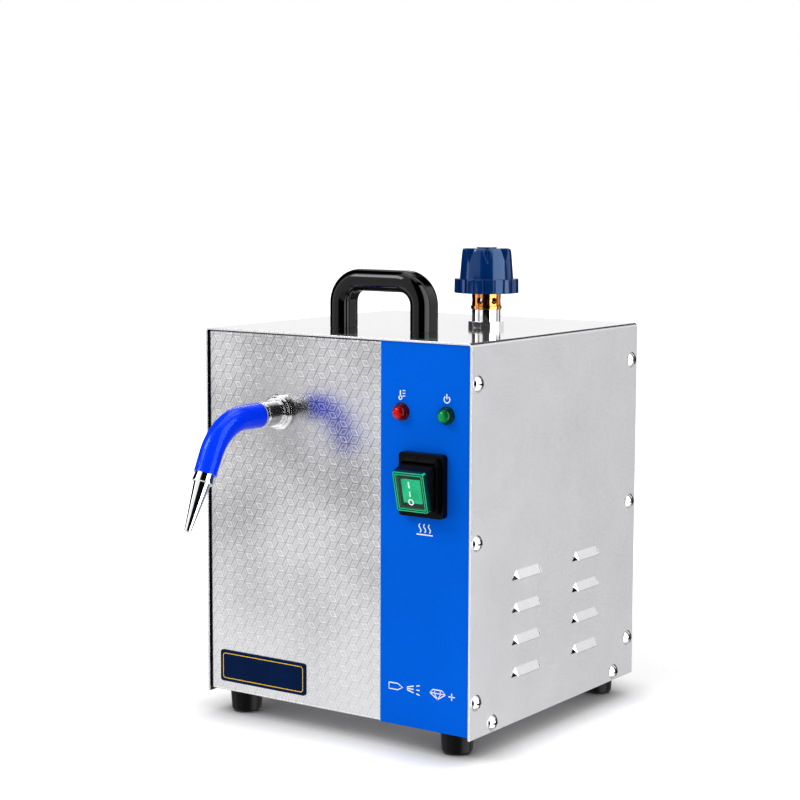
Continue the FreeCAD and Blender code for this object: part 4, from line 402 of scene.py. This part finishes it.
    # Painted shade: a grey band along the top bend.
    painted_top_bend_shade = graph.span(place["Z"], high.z - 1.5, high.z - 0.9)
    lined = graph.mix(painted_top_bend_shade, lined, srgb(112, 112, 115))
    grain = graph.noise(4.0, 3.0)
    height = graph.math("ADD", graph.span(nearest, 0.0, 1.6, smooth=True),
                        graph.math("MULTIPLY", grain, 0.12))
    rough = graph.math("ADD", graph.math("MULTIPLY", outline, 0.1),
                       graph.span(worn, 0.3, 0.7, 0.17, 0.22))
    normal = graph.bump(height, 0.035, 0.5, graph.rounded(0.6))
    return graph.finish(lined, rough, normal, 1.0)


def printed_film(name, colour):
    """The matt film of the stripe: a fine texture, and a pale line along its left and right edges."""
    graph = Graph(name)
    place = graph.split(graph.place())
    film_low, film_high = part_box("control_stripe")
    fine = graph.noise(3.0, 3.0)
    clouds = graph.noise(0.012, 2.0)
    body = graph.mix(graph.span(clouds, 0.3, 0.7), shade(colour, 0.94), shade(colour, 1.06))
    left = graph.math("LESS_THAN", place["X"], film_low.x / MM + 0.4)
    right = graph.math("GREATER_THAN", place["X"], film_high.x / MM - 0.5)
    edged = graph.mix(left, body, srgb(150, 185, 230))
    edged = graph.mix(right, edged, srgb(225, 190, 165))
    rough = graph.span(fine, 0.3, 0.7, 0.5, 0.62)
    normal = graph.bump(fine, 0.01, 0.5)
    graph.shader.inputs["Specular IOR Level"].default_value = 0.03
    graph.shader.inputs["Specular Tint"].default_value = blue_sheen
    return graph.finish(edged, rough, normal)


rocker_tilt = math.radians(13.4)
pivot = at(83.8, -3.6, 187.0)
cap_half_width = 13.75
cap_half_height = 15.5
cap_rim = 2.4
blue_sheen = (0.25, 0.45, 1.0, 1.0)

steel_side = sheet_steel("steel_side", srgb(223, 223, 226), 0.2, (300.0, 300.0, 2500.0), 0.003,
                         polished_from=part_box("cover_shell")[1].z / MM - 0.2)
steel_rear = sheet_steel("steel_rear", srgb(205, 205, 208), 0.28, (2500.0, 300.0, 300.0), 0.004)
steel_inner = sheet_steel("steel_inner", srgb(190, 190, 192), 0.38, (900.0, 900.0, 900.0), 0.01)
steel_cubes = cube_pattern_steel("steel_cubes")
steel_screw = turned_metal("steel_screw", srgb(196, 196, 199), 0.08, 0.15, 0.15, 0.05, 2.4)
chrome = turned_metal("chrome", srgb(240, 240, 241), 0.04, 0.2, 0.3, 0.04)
chrome_tip = turned_metal("chrome_tip", srgb(236, 236, 238), 0.05, 0.2, 0.2, 0.06)
brass = turned_metal("brass", srgb(220, 144, 76), 0.1, 0.25, 0.2, 0.2)
copper = turned_metal("copper", srgb(205, 120, 80), 0.22, 0.2, 0.1, 0.2)
blue_film = printed_film("blue_film", srgb(0, 92, 212))
navy_plate = moulded("navy_plate", srgb(0, 22, 58), 0.35, 0.004, 0.2, 0.06, sheen=blue_sheen)
gold_line = turned_metal("gold_line", srgb(236, 190, 50), 0.45, 0.1, 0.4, 0.1)
white_print = moulded("white_print", srgb(244, 247, 252), 0.5, 0.002, 0.05, 0.2, 0.02)
blue_sleeve = sleeve_rubber("blue_sleeve", srgb(0, 56, 254), (0.25, 0.55, 1.0, 1.0))
blue_knob = moulded("blue_knob", srgb(0, 40, 98), 0.13, 0.004, 0.5, 0.6, 0.1,
                    sheen=(0.4, 0.65, 1.0, 1.0))
black_gloss = moulded("black_gloss", srgb(1, 1, 2), 0.08, 0.002, 0.4, 0.26)
black_plastic = moulded("black_plastic", srgb(7, 7, 8), 0.3, 0.02, 0.4, 0.08)
black_bezel = moulded("black_bezel", srgb(4, 4, 5), 0.16, 0.006, 0.4, 0.07)
black_rubber = moulded("black_rubber", srgb(7, 7, 7), 0.3, 0.03, 0.5, 0.08)
pale_plastic = moulded("pale_plastic", srgb(228, 222, 205), 0.4, 0.02, 0.3)
red_lens = lamp_lens("red_lens", "red_lamp_lens", srgb(190, 6, 5), srgb(60, 0, 0),
                     (1.0, 0.4, 0.4, 1.0))
green_lens = lamp_lens("green_lens", "green_lamp_lens", srgb(0, 134, 62), srgb(0, 40, 16),
                       (0.4, 1.0, 0.6, 1.0))
green_cap = switch_cap("green_cap", pivot / MM, cap_half_width, cap_half_height, cap_rim, rocker_tilt)
lit_green = lit_window("lit_green")

finishes = {
    "cover_shell": steel_side, "front_panel": steel_cubes, "rear_panel": steel_rear,
    "base_pan": steel_inner, "control_stripe": blue_film, "badge_plate": navy_plate,
    "cover_screws": steel_screw, "rubber_feet": black_rubber, "foot_screws": steel_screw,
    "handle": black_gloss, "handle_spacers": black_gloss, "handle_screws": steel_screw,
    "switch_bezel": black_bezel, "switch_housing": black_plastic, "rocker": black_plastic,
    "rocker_cap": green_cap, "rocker_window": lit_green, "red_lamp_lens": red_lens,
    "green_lamp_lens": green_lens, "lamp_bodies": black_plastic, "spout_flange": chrome,
    "spout_union": chrome, "panel_nuts": steel_screw, "spout_pipe": steel_inner,
    "spout_sleeve": blue_sleeve, "nozzle_collar": chrome, "nozzle_tip": chrome_tip,
    "boiler_tank": steel_inner, "boiler_stand": steel_inner, "stand_bolts": steel_screw,
    "filler_neck": chrome, "neck_nut": chrome, "cap_seal": black_rubber, "cap_stem": brass,
    "cap_knob": blue_knob, "cap_disc": blue_knob, "relief_ball": steel_screw,
    "relief_spring": steel_screw, "relief_plug": brass, "heater_plug": brass,
    "heating_element": steel_inner, "thermal_cutout": black_plastic,
    "pressure_switch": black_plastic, "steam_pipes": copper, "pipe_nuts": brass,
    "solenoid_body": brass, "solenoid_tube": steel_screw, "solenoid_plunger": steel_screw,
    "solenoid_spring": steel_screw, "solenoid_coil": black_plastic, "drain_pipe": copper,
    "drain_valve": brass, "drain_ball": chrome, "drain_lever": steel_screw,
    "mains_inlet": black_plastic, "inlet_pins": chrome, "inlet_screws": steel_screw,
    "fuse_drawer": black_plastic, "pedal_socket": black_plastic, "terminal_block": pale_plastic,
}
for name, finish in finishes.items():
    nodes[name].data.materials.clear()
    nodes[name].data.materials.append(finish)


# Pieces made here

print_thickness = 0.06
print_gap = 0.01


def mesh_piece(name, vertices, faces, material, body):
    mesh = bpy.data.meshes.new(name)
    mesh.from_pydata([tuple(v) for v in vertices], [], faces)
    mesh.materials.append(material)
    piece = bpy.data.objects.new(name, mesh)
    bpy.context.scene.collection.objects.link(piece)
    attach(piece, body)
    return piece


def flat_outline(points, thickness):
    """A thin plate from an outline in the front plane, thick to the front, as vertices and faces."""
    count = len(points)
    vertices = [at(x, y, z) for x, y, z in points]
    vertices += [at(x, y - thickness, z) for x, y, z in points]
    faces = [tuple(range(count)), tuple(range(2 * count - 1, count - 1, -1))]
    for n in range(count):
        after = (n + 1) % count
        faces.append((n, n + count, after + count, after))
    return vertices, faces


def stroke(line, width):
    """The outline of a pen stroke of some width along a line of (x, z) points."""
    left, right = [], []
    for n, (x, z) in enumerate(line):
        before = line[max(n - 1, 0)]
        after = line[min(n + 1, len(line) - 1)]
        run = Vector((after[0] - before[0], after[1] - before[1])).normalized()
        aside = Vector((-run.y, run.x)) * width / 2
        left.append((x + aside.x, z + aside.y))
        right.append((x - aside.x, z - aside.y))
    return left + right[::-1]


def printed_sign(name, outlines):
    """A white print of some strokes on the stripe."""
    vertices, faces = [], []
    for outline in outlines:
        on_stripe = [(x, print_face, z) for x, z in outline]
        new_vertices, new_faces = flat_outline(on_stripe, print_thickness)
        faces += [tuple(i + len(vertices) for i in face) for face in new_faces]
        vertices += new_vertices
    return mesh_piece(name, vertices, faces, white_print, "case")


def circle(x, z, radius, start=0.0, end=360.0, steps=32):
    return [(x + radius * math.cos(math.radians(start + (end - start) * n / steps)),
             z + radius * math.sin(math.radians(start + (end - start) * n / steps)))
            for n in range(steps + 1)]


def wave(x, z, height, swing=0.7):
    """An upright wavy line, the usual sign for heat."""
    return [(x + swing * math.sin(2 * math.pi * n / 12), z - height / 2 + height * n / 12)
            for n in range(13)]


def sprung(name, node, body):
    """A CAD spring as a piece of its own on a body, with its CAD node hidden."""
    coils = bpy.data.objects.new(name, nodes[node].data.copy())
    bpy.context.scene.collection.objects.link(coils)
    coils.matrix_world = nodes[node].matrix_world.copy()
    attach(coils, body)
    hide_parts(node)
    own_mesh(coils)


sprung("relief_spring_coils", "relief_spring", "filler_cap")
sprung("solenoid_spring_coils", "solenoid_spring", "case")

# Signs on the stripe
print_face = case_box("control_stripe")[0].y - print_gap
pen = 0.8
red_x, green_x, switch_x = [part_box(name)[0].lerp(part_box(name)[1], 0.5).x / MM
                            for name in ("red_lamp_lens", "green_lamp_lens", "switch_bezel")]
thermometer = [stroke(circle(red_x - 1.4, 249.8, 1.3), pen),
               stroke([(red_x - 1.4, 250.9), (red_x - 1.4, 255.4)], pen * 1.3),
               stroke([(red_x + 0.6, 251.2), (red_x + 3.0, 251.2)], pen * 0.8),
               stroke([(red_x + 0.6, 253.2), (red_x + 3.0, 253.2)], pen * 0.8),
               stroke([(red_x + 0.6, 255.2), (red_x + 3.0, 255.2)], pen * 0.8)]
printed_sign("sign_thermometer", thermometer)
power = [stroke(circle(green_x, 251.2, 2.5, 125, 415), pen),
         stroke([(green_x, 251.4), (green_x, 255.2)], pen)]
printed_sign("sign_power", power)
heat = [stroke(wave(switch_x + step, 154.2, 6.4, 0.9), pen * 1.1) for step in (-4.2, 0.0, 4.2)]
heat.append(stroke([(switch_x - 7.2, 149.4), (switch_x + 7.2, 149.4)], pen * 1.1))
printed_sign("sign_heat", heat)
jet_z = 31.2
nozzle = [stroke([(52.0, 33.6), (60.0, 33.6), (64.5, jet_z), (60.0, 28.8), (52.0, 28.8), (52.0, 33.6)],
                 pen)]
jets = [stroke([(68.5, jet_z + rise * 0.4), (74.5, jet_z + rise)], pen) for rise in (-2.6, 0.0, 2.6)]
jets += [stroke([(77.0, jet_z + rise), (80.0, jet_z + rise * 1.3)], pen) for rise in (-2.9, 0.0, 2.9)]
gem = [stroke([(92.0, 34.0), (100.0, 34.0), (103.0, 31.4), (96.0, 26.8), (89.0, 31.4), (92.0, 34.0)],
              pen),
       stroke([(89.0, 31.4), (103.0, 31.4)], pen * 0.8),
       stroke([(94.0, 34.0), (93.0, 31.4), (96.0, 26.8)], pen * 0.8),
       stroke([(98.0, 34.0), (99.0, 31.4), (96.0, 26.8)], pen * 0.8)]
sparkle = [stroke([(108.5, 27.8), (108.5, 33.4)], pen), stroke([(105.7, 30.6), (111.3, 30.6)], pen)]
printed_sign("sign_steam", nozzle + jets)
printed_sign("sign_gem", gem + sparkle)


def on_rocker(x, outward, v):
    """A place on the tilted rocker, from its pivot: across, outward and up its face."""
    sine, cosine = math.sin(rocker_tilt), math.cos(rocker_tilt)
    return pivot + Vector((x, -outward * cosine - v * sine, -outward * sine + v * cosine)) * MM


rocker_face = 14.85


def rocker_print(name, outlines):
    """Marks on the face of the rocker's cap."""
    vertices, faces = [], []
    for outline in outlines:
        start, count = len(vertices), len(outline)
        vertices += [on_rocker(x, rocker_face, v) for x, v in outline]
        vertices += [on_rocker(x, rocker_face + print_thickness, v) for x, v in outline]
        faces.append(tuple(range(start, start + count)))
        faces.append(tuple(range(start + 2 * count - 1, start + count - 1, -1)))
        for n in range(count):
            after = (n + 1) % count
            faces.append((start + n, start + n + count, start + after + count, start + after))
    return mesh_piece(name, vertices, faces, white_print, "rocker")


rocker_print("switch_marks", [stroke([(-0.2, 3.4), (-0.2, 8.2)], 1.1),
                              stroke([(-0.2, -3.4), (-0.2, 0.6)], 1.0),
                              stroke(circle(-0.2, -7.6, 2.0), 0.9)])


def frame_line(low_x, high_x, low_z, high_z, inset, width, corner):
    """Four-sided line with rounded corners, as an outer and an inner outline."""
    outer, inner = [], []
    for outline, extra in ((outer, 0.0), (inner, width)):
        reach = inset + extra
        round_off = max(corner - extra, 0.2)
        for cx, cz, start in ((high_x - reach - round_off, high_z - reach - round_off, 0),
                              (low_x + reach + round_off, high_z - reach - round_off, 90),
                              (low_x + reach + round_off, low_z + reach + round_off, 180),
                              (high_x - reach - round_off, low_z + reach + round_off, 270)):
            outline += circle(cx, cz, round_off, start, start + 90, 6)
    return outer, inner


def ring_piece(name, outer, inner, y, thickness, material, body, slot):
    count = len(outer)
    vertices = []
    for depth in (0.0, thickness):
        for outline in (outer, inner):
            vertices += [at(x, y - depth, z) for x, z in outline]
    faces = []
    for n in range(count):
        after = (n + 1) % count
        a, b, c, d = n, n + count, n + 2 * count, n + 3 * count
        e, f, g, h = after, after + count, after + 2 * count, after + 3 * count
        faces += [(c, g, h, d), (a, b, f, e), (a, e, g, c), (b, d, h, f)]
    return mesh_piece(name, vertices, faces, material, body)


badge_low, badge_high = case_box("badge_plate")
badge_inset = 2.4
badge_line_width = 0.6
badge_corner = 2.6
badge_line = frame_line(badge_low.x, badge_high.x, badge_low.z, badge_high.z, badge_inset,
                        badge_line_width, badge_corner)
ring_piece("badge_line", *badge_line, badge_low.y - print_gap, print_thickness, gold_line, "case",
           "navy_plate")

# Camera, measured from the photograph's edges
eye = at(885.5, -1180.7, 415.0)
yaw, pitch, roll = math.radians(-34.89), math.radians(-6.61), math.radians(0.18)
forward = Vector((math.sin(yaw) * math.cos(pitch), math.cos(yaw) * math.cos(pitch), math.sin(pitch)))
right = Vector((math.cos(yaw), -math.sin(yaw), 0.0))
upward = right.cross(forward)
right, upward = (right * math.cos(roll) + upward * math.sin(roll),
                 upward * math.cos(roll) - right * math.sin(roll))
camera = bpy.data.objects.new("camera", bpy.data.cameras.new("camera"))
camera.matrix_world = Matrix((
    (right.x, upward.x, -forward.x, eye.x), (right.y, upward.y, -forward.y, eye.y),
    (right.z, upward.z, -forward.z, eye.z), (0, 0, 0, 1)))
picture_width = 800.0
focal_pixels = 1965.0
camera.data.sensor_width = 36.0
camera.data.lens = focal_pixels / picture_width * camera.data.sensor_width
camera.data.clip_end = 50.0
bpy.context.scene.collection.objects.link(camera)
bpy.context.scene.camera = camera

# Floor: it takes the object's shadow near it, with a painted contact shadow from ambient occlusion, and
# is plain white for the camera further out
floor_graph = Graph("floor")
light_path = floor_graph.node("ShaderNodeLightPath")
seen = floor_graph.math("MAXIMUM", light_path.outputs["Is Camera Ray"],
                        light_path.outputs["Is Transmission Ray"])
floor_place = floor_graph.split(floor_graph.place((1.0, 1.0, 1.0)))
away = floor_graph.math("SQRT", floor_graph.math(
    "ADD", floor_graph.math("MULTIPLY", floor_place["X"], floor_place["X"]),
    floor_graph.math("MULTIPLY", floor_place["Y"], floor_place["Y"])))
far = floor_graph.math("MULTIPLY", floor_graph.span(away, 0.35, 0.6, smooth=True), seen)
floor_tone = floor_graph.noise(2.0, 2.0, floor_graph.place((1.0, 1.0, 1.0)))
painted_contact_shadow = floor_graph.node("ShaderNodeAmbientOcclusion", samples=8)
painted_contact_shadow.inputs["Distance"].default_value = 0.042
open_sky = floor_graph.math("POWER", painted_contact_shadow.outputs["AO"], 1.1)
# Painted shadow: ambient occlusion darkens the floor's colour near the object, and its glow for the
# camera too.
floor_graph.put(floor_graph.shader.inputs["Base Color"],
                floor_graph.mix(open_sky, srgb(84, 84, 86),
                                floor_graph.mix(floor_tone, srgb(246, 246, 247), srgb(249, 249, 249))))
floor_graph.shader.inputs["Roughness"].default_value = 0.9
floor_graph.shader.inputs["Specular IOR Level"].default_value = 0.0
floor_graph.shader.inputs["Emission Color"].default_value = (1.0, 1.0, 1.0, 1.0)
floor_graph.put(floor_graph.shader.inputs["Emission Strength"],
                floor_graph.math("MULTIPLY", floor_graph.math("MULTIPLY", seen, open_sky),
                                 floor_graph.span(far, 0.0, 1.0, 0.2, 1.0)))
floor_mesh = bpy.data.meshes.new("floor")
floor_reach = 30
floor_corners = [(-floor_reach, -floor_reach, 0), (floor_reach, -floor_reach, 0),
                 (floor_reach, floor_reach, 0), (-floor_reach, floor_reach, 0)]
floor_mesh.from_pydata(floor_corners, [], [(0, 1, 2, 3)])
floor_mesh.materials.append(floor_graph.material)
floor = bpy.data.objects.new("floor", floor_mesh)
floor.visible_glossy = False
floor.visible_shadow = False
bpy.context.scene.collection.objects.link(floor)

# World: even light, white for the camera, and for gloss a white studio with dark gaps
world = bpy.data.worlds.new("studio")
world.use_nodes = True
bpy.context.scene.world = world
studio = Graph("studio", world.node_tree)
background = studio.tree.nodes["Background"]
direction = studio.split(studio.node("ShaderNodeTexCoord").outputs["Generated"])
towards_camera = 57.6
bearing = studio.math("MULTIPLY", studio.math("ARCTAN2", direction["Y"], direction["X"]),
                      180.0 / math.pi)
bearing = studio.math("WRAP", studio.math("ADD", bearing, towards_camera), 180.0, -180.0)
climb = studio.math("MULTIPLY", studio.math("ARCSINE", direction["Z"]), 180.0 / math.pi)


def stretch(value, low, high, soft=4.0):
    """1 between two limits and 0 outside them, with soft edges."""
    rise = studio.span(value, low - soft, low + soft, smooth=True)
    fall = studio.span(value, high - soft, high + soft, 1.0, 0.0, smooth=True)
    return studio.math("MULTIPLY", rise, fall)


# A panel to the left with a brighter edge, a side wall, a wall behind with a gap, and the floor
panel_start, panel_edge, panel_end = -96.0, -88.0, -28.0
left_panel = studio.math("ADD", studio.math("MULTIPLY", stretch(bearing, panel_start, panel_end), 1.08),
                         studio.math("MULTIPLY", stretch(bearing, panel_start, panel_edge, 2.0), 1.6))
side_wall = studio.math("MULTIPLY", stretch(bearing, 101.0, 130.0),
                        studio.span(climb, 0.0, 22.0, 0.8, 1.25))
rear_light = studio.math("MULTIPLY", studio.span(climb, -4.0, 2.0),
                         studio.math("SUBTRACT", 1.0, stretch(climb, 22.0, 34.0, 3.0)))
rear_wall = studio.math("MULTIPLY", studio.math("SUBTRACT", 1.0, stretch(bearing, -160.0, 160.0)),
                        rear_light)
around = studio.math("ADD", left_panel, studio.math("ADD", side_wall, rear_wall))
around = studio.math("MAXIMUM", around, studio.span(climb, -22.0, -13.0, 0.8, 0.0, smooth=True))
gloss = studio.math("ADD", around, 0.004)
rays = studio.node("ShaderNodeLightPath").outputs
shown = studio.math("MAXIMUM", rays["Is Camera Ray"], rays["Is Transmission Ray"])
even_light = 0.62
even = studio.math("MULTIPLY", studio.math("SUBTRACT", 1.0, shown), even_light)
plain = studio.math("ADD", shown, even)
strength = studio.node("ShaderNodeMix", data_type="FLOAT")
for index, value in ((0, rays["Is Glossy Ray"]), (2, plain), (3, gloss)):
    studio.put(strength.inputs[index], value)
background.inputs["Color"].default_value = (1.0, 1.0, 1.0, 1.0)
studio.put(background.inputs["Strength"], strength.outputs[0])


def lamp(name, place, aim, width, height, power, diffuse=True):
    data = bpy.data.lights.new(name, "AREA")
    data.shape = "RECTANGLE"
    data.size = width
    data.size_y = height
    data.energy = power
    made = bpy.data.objects.new(name, data)
    made.location = place
    made.rotation_euler = (Vector(aim) - Vector(place)).to_track_quat("-Z", "Y").to_euler()
    made.visible_diffuse = diffuse
    bpy.context.scene.collection.objects.link(made)
    return made


lamp("key", (-1.1, -1.4, 1.7), (0.0, 0.0, 0.15), 0.8, 0.8, 21.0)
fill = lamp("fill", (1.6, -0.6, 1.2), (0.0, 0.0, 0.15), 1.4, 1.4, 8.0)
fill.visible_glossy = False
lamp("top", (0.0, 0.2, 2.0), (0.0, 0.0, 0.1), 1.4, 1.4, 10.0)
softbox = lamp("softbox_right", at(642, 140, 350), at(-358, 225, 350), 0.65, 1.8, 16.5, False)
softbox.visible_camera = False
softbox.visible_transmission = False

bpy.context.scene.view_settings.view_transform = "Standard"
